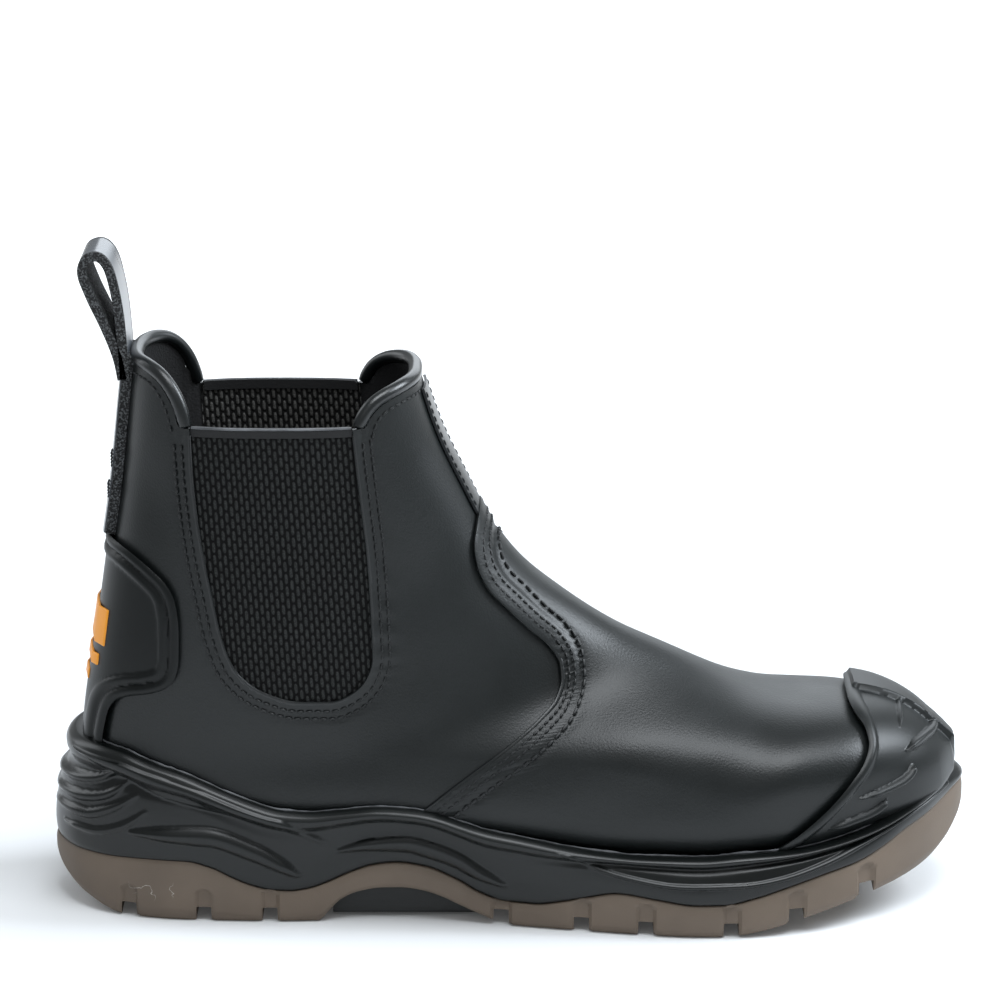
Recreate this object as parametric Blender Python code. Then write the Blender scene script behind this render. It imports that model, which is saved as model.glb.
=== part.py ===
"""Side gore work boot, right foot, built as closed solids in metres.

Frame: origin on the floor under the middle of the heel, +X to the toe,
+Y to the medial side, +Z up. The lateral side faces -Y.
Tables give lengths as shares of LENGTH (from the back of the heel), HEIGHT
(from the floor) and BALL_WIDTH.
"""
import math

import bmesh
import bpy
import numpy as np
from mathutils import Vector
from mathutils.bvhtree import BVHTree

# Named sizes of the boot
LENGTH = 0.312
HEIGHT = 0.195
BALL_WIDTH = 0.110
HEEL_BACK = -0.040

# Clearance between curved pieces, and how far cutters reach past the boot
GAP = 0.0003
REACH = 0.090

# Leather and elastic
WALL = 0.0022
VAMP_STEP = 0.0012
GORE_RECESS = 0.0007
GORE_THICK = 0.0013
ROLL_RADIUS = 0.0024

# Inside floor and insole
FLOOR_RISE = 0.0030
INSOLE_THICK = 0.0040

# Moulded guards, printed bars, front strip and pull loop
GUARD_THICK = 0.0022
GUARD_RIB = 0.0009
GUARD_BAND = 0.00135
COUNTER_THICK = 0.0014
COUNTER_BORDER = 0.0009
BORDER_WIDTH = 0.0032
BAR_THICK = 0.0008
STRIP_THICK = 0.0010
STRIP_HALF = 0.0072
STRAP_THICK = 0.0020
STRAP_HALF = 0.0125
LOOP_THICK = 0.0017

# Sole
RIM_LIFT = 0.0070
BAND_STEP = 0.0011
TREAD_EDGE = 0.0022
GROOVE_WIDTH = 0.0056
GROOVE_DEPTH = 0.0050
GROOVE_START = -0.020
GROOVE_DRAFT = 0.1
TIP_BULGE = 0.0012
BLOCK_BOTTOM = 0.0014

# Mesh density
SECTIONS = 29
RING = 24
STATIONS = 32
OUTLINE = 20
RIM_POINTS = 40
COLLAR_POINTS = 14
ROLL_POINTS = 22
STROKE_POINTS = 7

# Sections of the last that the heel skins cover, and points each side of the back
SKIN_FIRST = 3
SKIN_LAST = 14
SKIN_SIDE = 6

# The last, one fan section a row from the collar down and round to the toe:
# front x, front z, back x, back z, lateral, medial, widest place, back and front roundness
LAST_ROWS = (
    (0.3846, 1.0667, 0.0962, 1.0667, 0.330, 0.322, 0.50, 3.1, 2.80),
    (0.3926, 0.9949, 0.0897, 0.9949, 0.330, 0.322, 0.50, 3.1, 2.80),
    (0.4071, 0.9077, 0.0824, 0.8974, 0.332, 0.324, 0.50, 3.1, 2.75),
    (0.4247, 0.8256, 0.0776, 0.8051, 0.332, 0.324, 0.49, 3.0, 2.65),
    (0.4487, 0.7487, 0.0734, 0.7179, 0.332, 0.324, 0.47, 2.9, 2.50),
    (0.4776, 0.6615, 0.0673, 0.6256, 0.332, 0.324, 0.45, 2.8, 2.35),
    (0.5112, 0.5923, 0.0590, 0.5231, 0.336, 0.323, 0.43, 2.7, 2.20),
    (0.5497, 0.5436, 0.0490, 0.4308, 0.341, 0.323, 0.42, 2.6, 2.10),
    (0.5881, 0.5015, 0.0391, 0.3333, 0.341, 0.323, 0.42, 2.5, 2.00),
    (0.6234, 0.4692, 0.0353, 0.2410, 0.345, 0.323, 0.44, 2.5, 2.00),
    (0.6554, 0.4462, 0.0449, 0.1744, 0.350, 0.323, 0.47, 2.8, 2.00),
    (0.6843, 0.4246, 0.1090, 0.1513, 0.364, 0.332, 0.52, 3.2, 2.00),
    (0.7131, 0.4010, 0.2308, 0.1487, 0.382, 0.355, 0.58, 3.6, 2.05),
    (0.7404, 0.3790, 0.3590, 0.1436, 0.405, 0.386, 0.62, 3.8, 2.10),
    (0.7660, 0.3635, 0.4808, 0.1256, 0.427, 0.409, 0.60, 3.6, 2.20),
    (0.7933, 0.3545, 0.5929, 0.1067, 0.445, 0.427, 0.52, 3.4, 2.30),
    (0.8221, 0.3510, 0.6891, 0.1031, 0.450, 0.441, 0.46, 3.3, 2.40),
    (0.8542, 0.3490, 0.7692, 0.1077, 0.423, 0.436, 0.42, 3.2, 2.50),
    (0.8862, 0.3430, 0.8333, 0.1256, 0.373, 0.409, 0.42, 3.0, 2.50),
    (0.9135, 0.3300, 0.8878, 0.1462, 0.300, 0.355, 0.43, 2.8, 2.40),
    (0.9390, 0.3080, 0.9300, 0.1641, 0.220, 0.283, 0.45, 2.7, 2.30),
    (0.9580, 0.2800, 0.9550, 0.1850, 0.128, 0.196, 0.47, 2.5, 2.20),
    (0.9690, 0.2600, 0.9690, 0.2120, 0.030, 0.095, 0.50, 2.2, 2.20),
)

# The last row of LAST_ROWS above which the back point is on the heel, not underneath
FIRST_BOTTOM_ROW = 10

# Sole outline from above: place, lateral, medial
SOLE_PLAN = (
    (0.00, 0.000, 0.000),
    (0.01, 0.118, 0.118),
    (0.03, 0.205, 0.200),
    (0.08, 0.300, 0.291),
    (0.15, 0.348, 0.336),
    (0.25, 0.359, 0.336),
    (0.35, 0.350, 0.309),
    (0.45, 0.368, 0.300),
    (0.55, 0.427, 0.345),
    (0.65, 0.486, 0.418),
    (0.70, 0.503, 0.455),
    (0.75, 0.500, 0.482),
    (0.80, 0.477, 0.491),
    (0.85, 0.427, 0.473),
    (0.90, 0.341, 0.418),
    (0.95, 0.209, 0.327),
    (0.98, 0.082, 0.236),
    (1.00, -0.082, 0.082),
)

# Heights along the sole: place, height
TREAD = (
    (0.0000, 0.0800), (0.0050, 0.0620), (0.0150, 0.0430), (0.0390, 0.0205),
    (0.0710, 0.0020), (0.0860, 0.0000), (0.2930, 0.0000), (0.3040, 0.0170),
    (0.3160, 0.0370), (0.3350, 0.0520), (0.3622, 0.0595), (0.3846, 0.0600),
    (0.4038, 0.0559), (0.4244, 0.0462), (0.4455, 0.0308), (0.4679, 0.0154),
    (0.4872, 0.0041), (0.5064, 0.0000), (0.7308, 0.0000), (0.7692, 0.0082),
    (0.8333, 0.0318), (0.8974, 0.0544), (0.9295, 0.0646), (0.9583, 0.0779),
    (0.9808, 0.0974), (0.9936, 0.1231), (1.0000, 0.1487),
)
JOINT = (
    (0.0000, 0.1060), (0.0200, 0.1050), (0.0600, 0.1060), (0.1186, 0.1080),
    (0.1480, 0.1075), (0.1779, 0.0960), (0.1987, 0.0800), (0.2200, 0.0660),
    (0.2404, 0.0580),
    (0.2628, 0.0559), (0.2821, 0.0600), (0.3013, 0.0703), (0.3269, 0.0887),
    (0.3526, 0.1026), (0.3782, 0.1072), (0.4071, 0.1015), (0.4423, 0.0790),
    (0.4679, 0.0560), (0.4936, 0.0440), (0.5256, 0.0430), (0.5545, 0.0510),
    (0.5833, 0.0625), (0.6154, 0.0728), (0.6603, 0.0646), (0.6987, 0.0574),
    (0.7276, 0.0579), (0.7660, 0.0708), (0.8013, 0.0872), (0.8397, 0.1036),
    (0.8782, 0.1169), (0.9038, 0.1330), (0.9295, 0.1530), (0.9551, 0.1667),
    (0.9744, 0.1790), (0.9888, 0.1880), (1.0000, 0.1910),
)
RIM = (
    (0.0000, 0.3090), (0.0192, 0.3070), (0.0417, 0.3040), (0.0769, 0.2970),
    (0.1090, 0.2821), (0.1506, 0.2641), (0.1891, 0.2395), (0.2308, 0.2144),
    (0.2500, 0.2062), (0.2821, 0.2031), (0.3205, 0.2092), (0.3590, 0.2154),
    (0.3974, 0.2123), (0.4199, 0.2062), (0.4423, 0.1944), (0.4744, 0.1785),
    (0.5096, 0.1682), (0.5449, 0.1569), (0.5769, 0.1482), (0.6410, 0.1400),
    (0.7051, 0.1390), (0.7436, 0.1446), (0.8077, 0.1487), (0.8397, 0.1549),
    (0.8718, 0.1641), (0.8974, 0.1744), (0.9167, 0.1846), (0.9359, 0.1969),
    (0.9551, 0.2090), (0.9744, 0.2240), (1.0000, 0.2400),
)

# Width of the midsole's rim: place, width in metres
RIM_WIDTH = ((0.00, 0.0058), (0.04, 0.0052), (0.12, 0.0037), (0.30, 0.0034), (1.00, 0.0034))

# Side of the midsole from the joint up to the rim: height, way in to the rim, bulge in metres
MIDSOLE_SIDE = (
    (0.00, 0.00, -0.0008),
    (0.12, 0.00, -0.0003),
    (0.38, 0.18, 0.0004),
    (0.62, 0.48, 0.0003),
    (0.78, 0.80, 0.0000),
    (0.84, 0.90, 0.0011),
    (0.93, 0.98, 0.0012),
    (1.00, 1.00, 0.0002),
)

# Side of the outsole from the tread up to the joint: height, way in as a share of TREAD_EDGE
OUTSOLE_SIDE = ((0.00, 1.00), (0.10, 0.30), (0.22, 0.00), (0.60, 0.00), (1.00, 0.36))

# Heights: top of the elastic, of its cut-out, of the strap, and both ends of the front strip
GORE_TOP = 0.874
CUT_TOP = 0.950
STRAP_TOP = 0.975
STRIP_LOW = 0.722
STRIP_HIGH = 0.915

# Places: front of the strap and bars, both ends of the front strip, front of the counter,
# back of the vamp's lower edge, and one past the toe
BARS_FRONT = 0.14
STRIP_BACK = 0.30
STRIP_FRONT = 0.60
COUNTER_FRONT = 0.25
VAMP_BACK = 0.35
GUARD_FRONT = 1.05
PAST_TOE = 1.10

# Outlines seen from the side: place, height
GORE = (
    (0.1615, 0.9333), (0.1619, 0.8718), (0.1631, 0.8067), (0.1679, 0.7195),
    (0.1744, 0.6487), (0.1830, 0.5779), (0.1920, 0.5097), (0.2067, 0.4513),
    (0.2346, 0.4144), (0.2753, 0.3959), (0.3074, 0.3959), (0.3311, 0.4103),
    (0.3471, 0.4369), (0.3538, 0.4728), (0.3522, 0.5436), (0.3484, 0.6487),
    (0.3413, 0.7544), (0.3365, 0.8241), (0.3340, 0.8718), (0.3327, 0.9333),
)
SEAM = (
    (0.4680, 0.7700), (0.4675, 0.7150), (0.4645, 0.6822), (0.4615, 0.6486),
    (0.4650, 0.6150), (0.4780, 0.5740), (0.4990, 0.5390), (0.5215, 0.5037),
    (0.5431, 0.4730), (0.5545, 0.4440), (0.5565, 0.4180), (0.5500, 0.3880),
    (0.5350, 0.3630), (0.5100, 0.3310), (0.4679, 0.2822), (0.4207, 0.2236),
    (0.3880, 0.1750), (0.3600, 0.0800),
)
COLLAR_BACK = (
    (0.0321, 0.9836), (0.0897, 0.9836), (0.1090, 0.9831), (0.1250, 0.9759),
    (0.1385, 0.9600), (0.1494, 0.9364), (0.1571, 0.9103), (0.1622, 0.8795),
)
COLLAR_FRONT = (
    (0.3330, 0.8641), (0.3378, 0.8903), (0.3462, 0.9123), (0.3590, 0.9292),
    (0.3750, 0.9405), (0.3942, 0.9477), (0.4327, 0.9497),
)
GUARD = (
    (0.8654, 0.4615), (0.8654, 0.3769), (0.8673, 0.3641), (0.8731, 0.3538),
    (0.8821, 0.3385), (0.8856, 0.3179), (0.8814, 0.2964), (0.8638, 0.2595),
    (0.8413, 0.2205), (0.8077, 0.1733), (0.7804, 0.1405), (0.7564, 0.1026),
)
COUNTER = (
    (0.0000, 0.6595), (0.0737, 0.6585), (0.0888, 0.6523), (0.1045, 0.6390),
    (0.1202, 0.6215), (0.1340, 0.6010), (0.1433, 0.5713), (0.1468, 0.5241),
    (0.1462, 0.4703), (0.1420, 0.4379), (0.1308, 0.4164), (0.1122, 0.4041),
    (0.0904, 0.3949), (0.0753, 0.3826), (0.0673, 0.3641), (0.0628, 0.3385),
    (0.0593, 0.3077), (0.0577, 0.2600),
)

# Raised bands and fins on the side of the midsole: place, height, width of the stroke
BANDS = (
    ((0.0083, 0.2287, 0.012), (0.0401, 0.2323, 0.016), (0.0712, 0.2538, 0.003)),
    ((0.0077, 0.1938, 0.012), (0.0446, 0.2087, 0.018), (0.0856, 0.2482, 0.003)),
    ((0.0077, 0.1590, 0.012), (0.0471, 0.1700, 0.019), (0.0997, 0.2290, 0.003)),
    ((0.1311, 0.1641, 0.003), (0.1808, 0.1533, 0.020), (0.2247, 0.1256, 0.025),
     (0.2689, 0.0950, 0.004)),
    ((0.3253, 0.1385, 0.003), (0.3718, 0.1421, 0.020), (0.4256, 0.1277, 0.028),
     (0.4571, 0.1056, 0.020), (0.4859, 0.0856, 0.003)),
)
# Raised ribs on the toe guard: place, height, width of the stroke
RIBS = (
    ((0.9266, 0.2872, 0.004), (0.9420, 0.3060, 0.016), (0.9560, 0.3240, 0.004)),
    ((0.8744, 0.2205, 0.003), (0.9099, 0.2318, 0.016), (0.9266, 0.2446, 0.016),
     (0.9356, 0.2631, 0.004)),
    ((0.8429, 0.1769, 0.003), (0.8788, 0.1897, 0.016), (0.8933, 0.1990, 0.016),
     (0.9032, 0.2097, 0.004)),
)
# Centre band over the toe guard: middle and half of its width, start, bottom and top
TOE_BAND_MIDDLE = 0.004
TOE_BAND_HALF = 0.011
TOE_BAND_START = 0.871
TOE_BAND_BOTTOM = 0.268
TOE_BAND_TOP = 0.50

# Grooves across the tread: places along the boot
GROOVES = (0.0865, 0.1686, 0.2404, 0.4904, 0.5769, 0.6458, 0.7372, 0.8077, 0.8846)

# Plain raised bars on the counter: bottom, top, half width
BARS = (
    (0.470, 0.535, 0.185),
    (0.432, 0.452, 0.160),
    (0.395, 0.414, 0.085),
)

# Pull loop seen from the side: place, height
LOOP = (
    (0.0782, 0.9660), (0.0800, 1.0000), (0.0814, 1.0410), (0.0788, 1.0923),
    (0.0720, 1.1333), (0.0612, 1.1487), (0.0503, 1.1436), (0.0452, 1.1231),
    (0.0519, 1.0821), (0.0641, 1.0359), (0.0724, 0.9949), (0.0740, 0.9700),
)

# Points at each end of the loop's line where its legs lie on each other
LOOP_CLOSED = 4

# Arch block under the waist: start, end, lateral, medial
ARCH_BLOCK = (0.3080, 0.4760, 0.300, 0.245)


def along(share):
    return HEEL_BACK + np.asarray(share) * LENGTH


def up(share):
    return np.asarray(share) * HEIGHT


def across(share):
    return np.asarray(share) * BALL_WIDTH


def smooth(keys, values, at):
    """Smooth line through table rows, level wherever the rows turn back."""
    keys = np.asarray(keys, float)
    values = np.asarray(values, float)
    step = np.diff(keys)
    rise = np.diff(values) / step
    slope = np.zeros(len(keys))
    slope[0] = rise[0]
    slope[-1] = rise[-1]
    for i in range(1, len(keys) - 1):
        if rise[i - 1] * rise[i] > 0.0:
            slope[i] = 2.0 * rise[i - 1] * rise[i] / (rise[i - 1] + rise[i])
    at = np.clip(np.asarray(at, float), keys[0], keys[-1])
    cell = np.clip(np.searchsorted(keys, at) - 1, 0, len(step) - 1)
    t = (at - keys[cell]) / step[cell]
    start = values[cell] * (1 + 2 * t) * (1 - t) ** 2 + values[cell + 1] * t * t * (3 - 2 * t)
    return start + step[cell] * t * (1 - t) * (slope[cell] * (1 - t) - slope[cell + 1] * t)


def height_line(table, x):
    """Height of a table's line over places x in metres."""
    share = (np.asarray(x) - HEEL_BACK) / LENGTH
    return up(smooth([row[0] for row in table], [row[1] for row in table], share))


def side_line(table, count=OUTLINE):
    """Side view points in metres, spread evenly along a table's outline."""
    rows = np.asarray([row[:2] for row in table], float)
    points = np.stack([along(rows[:, 0]), up(rows[:, 1])], 1)
    return spread(points, count)


def spread(points, count):
    """Points spread evenly along a smooth line through the given ones."""
    points = np.asarray(points, float)
    run = np.concatenate([[0.0], np.cumsum(np.linalg.norm(np.diff(points, axis=0), axis=1))])
    at = np.linspace(0.0, run[-1], count)
    return np.stack([smooth(run, points[:, c], at) for c in range(points.shape[1])], 1)


def shifted(points, distance, closed=False):
    """The line moved to its left by a distance."""
    points = np.asarray(points, float)
    if closed:
        run = np.roll(points, -1, axis=0) - np.roll(points, 1, axis=0)
    else:
        run = np.gradient(points, axis=0)
    run /= np.linalg.norm(run, axis=1)[:, None]
    return points + distance * np.stack([-run[:, 1], run[:, 0]], 1)


def stroke(rows, count=STROKE_POINTS):
    """Side view outline of a stroke whose width is a share of HEIGHT at each row."""
    rows = np.asarray(rows, float)
    line = spread(np.stack([along(rows[:, 0]), up(rows[:, 1]), up(rows[:, 2])], 1), count)
    left = shifted(line[:, :2], 1.0) - line[:, :2]
    half = line[:, 2:] / 2.0
    return np.concatenate([line[:, :2] + left * half, (line[:, :2] - left * half)[::-1]])


def new_object(name, vertices, faces, where):
    """Closed mesh object with its faces turned outward."""
    mesh = bpy.data.meshes.new(name)
    mesh.from_pydata([tuple(v) for v in vertices], [], faces)
    work = bmesh.new()
    work.from_mesh(mesh)
    bmesh.ops.remove_doubles(work, verts=work.verts, dist=0.00001)
    bmesh.ops.recalc_face_normals(work, faces=work.faces)
    if work.calc_volume(signed=True) < 0.0:
        bmesh.ops.reverse_faces(work, faces=work.faces)
    work.to_mesh(mesh)
    work.free()
    made = bpy.data.objects.new(name, mesh)
    where.objects.link(made)
    return made


def last_grid(out):
    """Points round the last, one ring a section, moved outward by a distance."""
    rows = np.asarray(LAST_ROWS, float)
    at = np.linspace(0.0, len(rows) - 1.0, SECTIONS)
    table = np.stack([smooth(np.arange(len(rows)), rows[:, c], at) for c in range(9)], 1)
    turn = np.arange(RING) * 2.0 * math.pi / RING
    reach = -np.cos(turn)
    grid = np.zeros((SECTIONS, RING, 3))
    for i, row in enumerate(table):
        front = np.array([along(row[0]), up(row[1])])
        back = np.array([along(row[2]), up(row[3])])
        power = np.where(reach < 0.0, 2.0 / row[7], 2.0 / row[8])
        room = np.where(reach < 0.0, row[6], 1.0 - row[6])
        share = row[6] + np.sign(reach) * room * np.abs(reach) ** power
        half = np.where(turn < math.pi, -across(row[4]), across(row[5]))
        grid[i, :, 0] = back[0] + share * (front[0] - back[0])
        grid[i, :, 1] = half * np.abs(np.sin(turn)) ** power
        grid[i, :, 2] = back[1] + share * (front[1] - back[1])
    if out == 0.0:
        return grid
    round_way = np.roll(grid, -1, axis=1) - np.roll(grid, 1, axis=1)
    long_way = np.gradient(grid, axis=0)
    normal = np.cross(round_way, long_way)
    normal /= np.linalg.norm(normal, axis=2)[:, :, None]
    middle = grid.mean(axis=1, keepdims=True)
    if ((grid - middle) * normal).sum() < 0.0:
        normal = -normal
    return grid + out * normal


def last_solid(name, out, where):
    """The last as a closed solid, grown or shrunk by a distance."""
    grid = last_grid(out)
    vertices = list(grid.reshape(-1, 3))
    faces = []
    for i in range(SECTIONS - 1):
        for j in range(RING):
            k = (j + 1) % RING
            faces.append((i * RING + j, i * RING + k, (i + 1) * RING + k, (i + 1) * RING + j))
    top = len(vertices)
    vertices.append(grid[0].mean(axis=0))
    tip = len(vertices)
    vertices.append(grid[-1].mean(axis=0) + np.array([TIP_BULGE, 0.0, 0.0]))
    start = (SECTIONS - 1) * RING
    for j in range(RING):
        k = (j + 1) % RING
        faces.append((top, j, k))
        faces.append((tip, start + j, start + k))
    return new_object(name, vertices, faces, where)


def heel_skin(name, low, high, where):
    """Skin over the back of the last between two distances, closed all round."""
    sheets = []
    for out in (low, high):
        grid = last_grid(out)[SKIN_FIRST:SKIN_LAST]
        sheets.append(np.concatenate([grid[:, -SKIN_SIDE:], grid[:, :SKIN_SIDE + 1]], axis=1))
    rows, columns = sheets[0].shape[:2]
    vertices = [p for sheet in sheets for p in sheet.reshape(-1, 3)]
    far = rows * columns
    faces = []
    for i in range(rows - 1):
        for j in range(columns - 1):
            a = i * columns + j
            cell = (a, a + 1, a + columns + 1, a + columns)
            faces.append(cell)
            faces.append(tuple(far + corner for corner in cell))
    edge = [j for j in range(columns)] + [i * columns + columns - 1 for i in range(1, rows)]
    edge += [(rows - 1) * columns + j for j in range(columns - 2, -1, -1)]
    edge += [i * columns for i in range(rows - 2, 0, -1)]
    for a, b in zip(edge, edge[1:] + edge[:1]):
        faces.append((a, b, far + b, far + a))
    return new_object(name, vertices, faces, where)


def side_prism(name, outlines, where, near=-REACH, far=REACH):
    """Side view outlines pushed straight across the boot."""
    vertices = []
    faces = []
    for outline in outlines:
        first = len(vertices)
        count = len(outline)
        vertices += [(p[0], near, p[1]) for p in outline]
        vertices += [(p[0], far, p[1]) for p in outline]
        faces.append(tuple(range(first, first + count)))
        faces.append(tuple(range(first + count, first + 2 * count)))
        for i in range(count):
            j = (i + 1) % count
            faces.append((first + i, first + j, first + count + j, first + count + i))
    return new_object(name, vertices, faces, where)


def box(name, low, high, where):
    """Plain box between two corners."""
    outline = ((low[0], low[2]), (high[0], low[2]), (high[0], high[2]), (low[0], high[2]))
    return side_prism(name, [outline], where, low[1], high[1])


def boolean(target, cutter, operation):
    """Exact Boolean of a target with a cutter."""
    step = target.modifiers.new(cutter.name, "BOOLEAN")
    step.operation = operation
    step.solver = "EXACT"
    step.object = cutter


def plan_ring():
    """Sole outline from above, once round from the heel, with its outward directions."""
    turn = np.linspace(0.0, math.pi, STATIONS)
    share = 0.5 * (1.0 - np.cos(turn))
    keys = [math.acos(1.0 - 2.0 * row[0]) for row in SOLE_PLAN]
    lateral = -across(smooth(keys, [row[1] for row in SOLE_PLAN], turn))
    medial = across(smooth(keys, [row[2] for row in SOLE_PLAN], turn))
    near = np.stack([along(share), lateral], 1)
    far = np.stack([along(share), medial], 1)[1:-1][::-1]
    ring = np.concatenate([near, far])
    run = np.roll(ring, -1, axis=0) - np.roll(ring, 1, axis=0)
    run /= np.linalg.norm(run, axis=1)[:, None]
    return ring, np.stack([run[:, 1], -run[:, 0]], 1)


def ring_solid(name, levels, where):
    """Closed solid from rings round the sole, its bottom and top bridged straight across."""
    count = len(levels[0])
    vertices = [p for level in levels for p in level]
    faces = []
    for a in range(len(levels) - 1):
        for i in range(count):
            j = (i + 1) % count
            faces.append((a * count + i, a * count + j, (a + 1) * count + j, (a + 1) * count + i))
    for first in (0, (len(levels) - 1) * count):
        for k in range(STATIONS - 1):
            pair = [k, k + 1, (count - k - 1) % count, (count - k) % count]
            face = []
            for corner in pair:
                if first + corner not in face:
                    face.append(first + corner)
            faces.append(tuple(face))
    return new_object(name, vertices, faces, where)


def rim_ring(tree, ring, outward):
    """Outer edge of the midsole's rim, found against the side of the last."""
    edge = []
    shares = (ring[:, 0] - HEEL_BACK) / LENGTH
    widths = smooth([row[0] for row in RIM_WIDTH], [row[1] for row in RIM_WIDTH], shares)
    for place, way, width in zip(ring, outward, widths):
        x = place[0]
        for _ in range(3):
            z = float(height_line(RIM, x))
            start = Vector((place[0], place[1], z + RIM_LIFT)) + Vector((way[0], way[1], 0.0)) * REACH
            hit = tree.ray_cast(start, Vector((-way[0], -way[1], 0.0)))[0]
            x = hit.x + way[0] * width
        edge.append((x, hit.y + way[1] * width, float(height_line(RIM, x))))
    return np.asarray(edge)


def midsole_solid(name, rim, ring, outward, out, where):
    """Midsole block between the joint and the rim, its side grown outward by a distance."""
    joint = height_line(JOINT, ring[:, 0]) + GAP
    levels = []
    for height, way_in, bulge in MIDSOLE_SIDE:
        flat = ring + (rim[:, :2] - ring) * way_in + outward * (bulge + out)
        tall = joint + (rim[:, 2] - joint) * height
        levels.append(np.column_stack([flat, tall]))
    return ring_solid(name, levels, where)


def outsole_solid(name, ring, outward, where):
    """Outsole block between the tread and the joint."""
    tread = height_line(TREAD, ring[:, 0])
    joint = height_line(JOINT, ring[:, 0])
    levels = []
    for height, way_in in OUTSOLE_SIDE:
        flat = ring - outward * way_in * TREAD_EDGE
        levels.append(np.column_stack([flat, tread + (joint - tread) * height]))
    return ring_solid(name, levels, where)


def floor_line(rise):
    """Side view line a distance above the underside of the last, heel to toe."""
    rows = LAST_ROWS[FIRST_BOTTOM_ROW:]
    inner = [(along(row[2]), up(row[3]) + rise) for row in rows]
    back = (HEEL_BACK - REACH, inner[0][1])
    toe = (inner[-1][0] + REACH, inner[-1][1])
    return [back] + inner + [toe]


def above(line):
    """Outline of everything over a side view line."""
    line = [tuple(p) for p in line]
    return line + [(line[-1][0], 2.0 * HEIGHT), (line[0][0], 2.0 * HEIGHT)]


def below(line):
    """Outline of everything under a side view line."""
    line = [tuple(p) for p in line]
    return line + [(line[-1][0], -HEIGHT), (line[0][0], -HEIGHT)]


def rim_line(rise, start, end):
    """Side view line over the midsole's rim between two places."""
    x = np.linspace(start, end, RIM_POINTS)
    return [(a, b + rise) for a, b in zip(x, height_line(RIM, x))]


def collar_outline(drop):
    """Everything over the collar's edge, which lies a distance inside its tables' lines."""
    level = up(GORE_TOP)
    back = [tuple(p) for p in shifted(side_line(COLLAR_BACK, COLLAR_POINTS), -drop) if p[1] > level]
    front = [tuple(p) for p in shifted(side_line(COLLAR_FRONT, COLLAR_POINTS), -drop) if p[1] > level]
    start = (HEEL_BACK - REACH, back[0][1])
    end = (along(1.0), front[-1][1])
    dip = [(back[-1][0], level), (front[0][0], level)]
    return above([start] + back[1:] + dip + front[:-1] + [end])


def gore_outline(inset, top):
    """Gore outline drawn in by a distance, and closed at a top height."""
    line = shifted(side_line(GORE, 30), inset)
    line = [tuple(p) for p in line if p[1] < top]
    return [(line[0][0], top)] + line + [(line[-1][0], top)]


def insole_outline(bottom, top):
    """Slab along the underside of the last between two rises."""
    return floor_line(bottom) + floor_line(top)[::-1]


def tube(name, path, radius, where):
    """Round cord along a path, closed at both ends."""
    curve = bpy.data.curves.new(name, "CURVE")
    curve.dimensions = "3D"
    curve.bevel_depth = radius
    curve.bevel_resolution = 1
    curve.use_fill_caps = True
    line = curve.splines.new("POLY")
    line.points.add(len(path) - 1)
    for point, place in zip(line.points, path):
        point.co = (place[0], place[1], place[2], 1.0)
    bent = bpy.data.objects.new(name + "_line", curve)
    where.objects.link(bent)
    graph = bpy.context.evaluated_depsgraph_get()
    mesh = bpy.data.meshes.new_from_object(bent.evaluated_get(graph))
    vertices = [v.co.copy() for v in mesh.vertices]
    faces = [tuple(p.vertices) for p in mesh.polygons]
    bpy.data.objects.remove(bent)
    bpy.data.meshes.remove(mesh)
    return new_object(name, vertices, faces, where)


def roll_path(tree, table, facing):
    """Middle line of a collar roll, round the shaft at the height the table gives."""
    line = shifted(side_line(table, 60), -ROLL_RADIUS)
    line = line[line[:, 1] > up(GORE_TOP) + ROLL_RADIUS + GAP]
    order = np.argsort(line[:, 0])
    axis_x = 0.5 * (along(GORE[0][0]) + along(GORE[-1][0]))
    low = line[np.argmin(line[:, 1])]
    ends = []
    for side in (-1.0, 1.0):
        hit = tree.ray_cast(Vector((low[0], 0.0, low[1])), Vector((0.0, side, 0.0)))[0]
        ends.append(math.atan2(hit.y, facing * (low[0] - axis_x)))
    path = []
    for turn in np.linspace(ends[0], ends[1], ROLL_POINTS):
        way = Vector((facing * math.cos(turn), math.sin(turn), 0.0))
        z = low[1]
        for _ in range(14):
            hit = tree.ray_cast(Vector((axis_x, 0.0, z)), way)[0]
            z = 0.5 * z + 0.5 * float(np.interp(hit.x, line[order, 0], line[order, 1]))
        path.append((hit.x, hit.y, z))
    return path


def solid_tree(solid):
    """Search tree of a solid's faces."""
    mesh = solid.data
    vertices = [v.co for v in mesh.vertices]
    faces = [tuple(p.vertices) for p in mesh.polygons]
    return BVHTree.FromPolygons(vertices, faces)


def groove_cutters(name, where):
    """Grooves across the tread, a little narrower at the top."""
    outlines = []
    for place in along(GROOVES):
        z = float(height_line(TREAD, place))
        wide = GROOVE_WIDTH / 2.0 * (1.0 + GROOVE_DRAFT)
        narrow = GROOVE_WIDTH / 2.0 * (1.0 - GROOVE_DRAFT)
        low = z + GROOVE_START
        high = z + GROOVE_DEPTH
        bottom = ((place - wide, low), (place + wide, low))
        top = ((place + narrow, high), (place - narrow, high))
        outlines.append(bottom + top)
    return side_prism(name, outlines, where)


def material(name, colour, roughness):
    made = bpy.data.materials.new(name)
    made.use_nodes = True
    shader = made.node_tree.nodes["Principled BSDF"]
    shader.inputs["Base Color"].default_value = (*colour, 1.0)
    shader.inputs["Roughness"].default_value = roughness
    shader.inputs["Metallic"].default_value = 0.0
    return made


def dress(made, colour, roughness):
    made.data.materials.clear()
    made.data.materials.append(material(made.name + "_finish", colour, roughness))


BLACK_LEATHER = (0.018, 0.019, 0.021)
BLACK_RUBBER = (0.014, 0.015, 0.017)
BROWN_RUBBER = (0.165, 0.112, 0.088)
BLACK_CLOTH = (0.012, 0.012, 0.013)
GREY_FELT = (0.060, 0.060, 0.062)
ORANGE_PRINT = (0.900, 0.330, 0.010)


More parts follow.
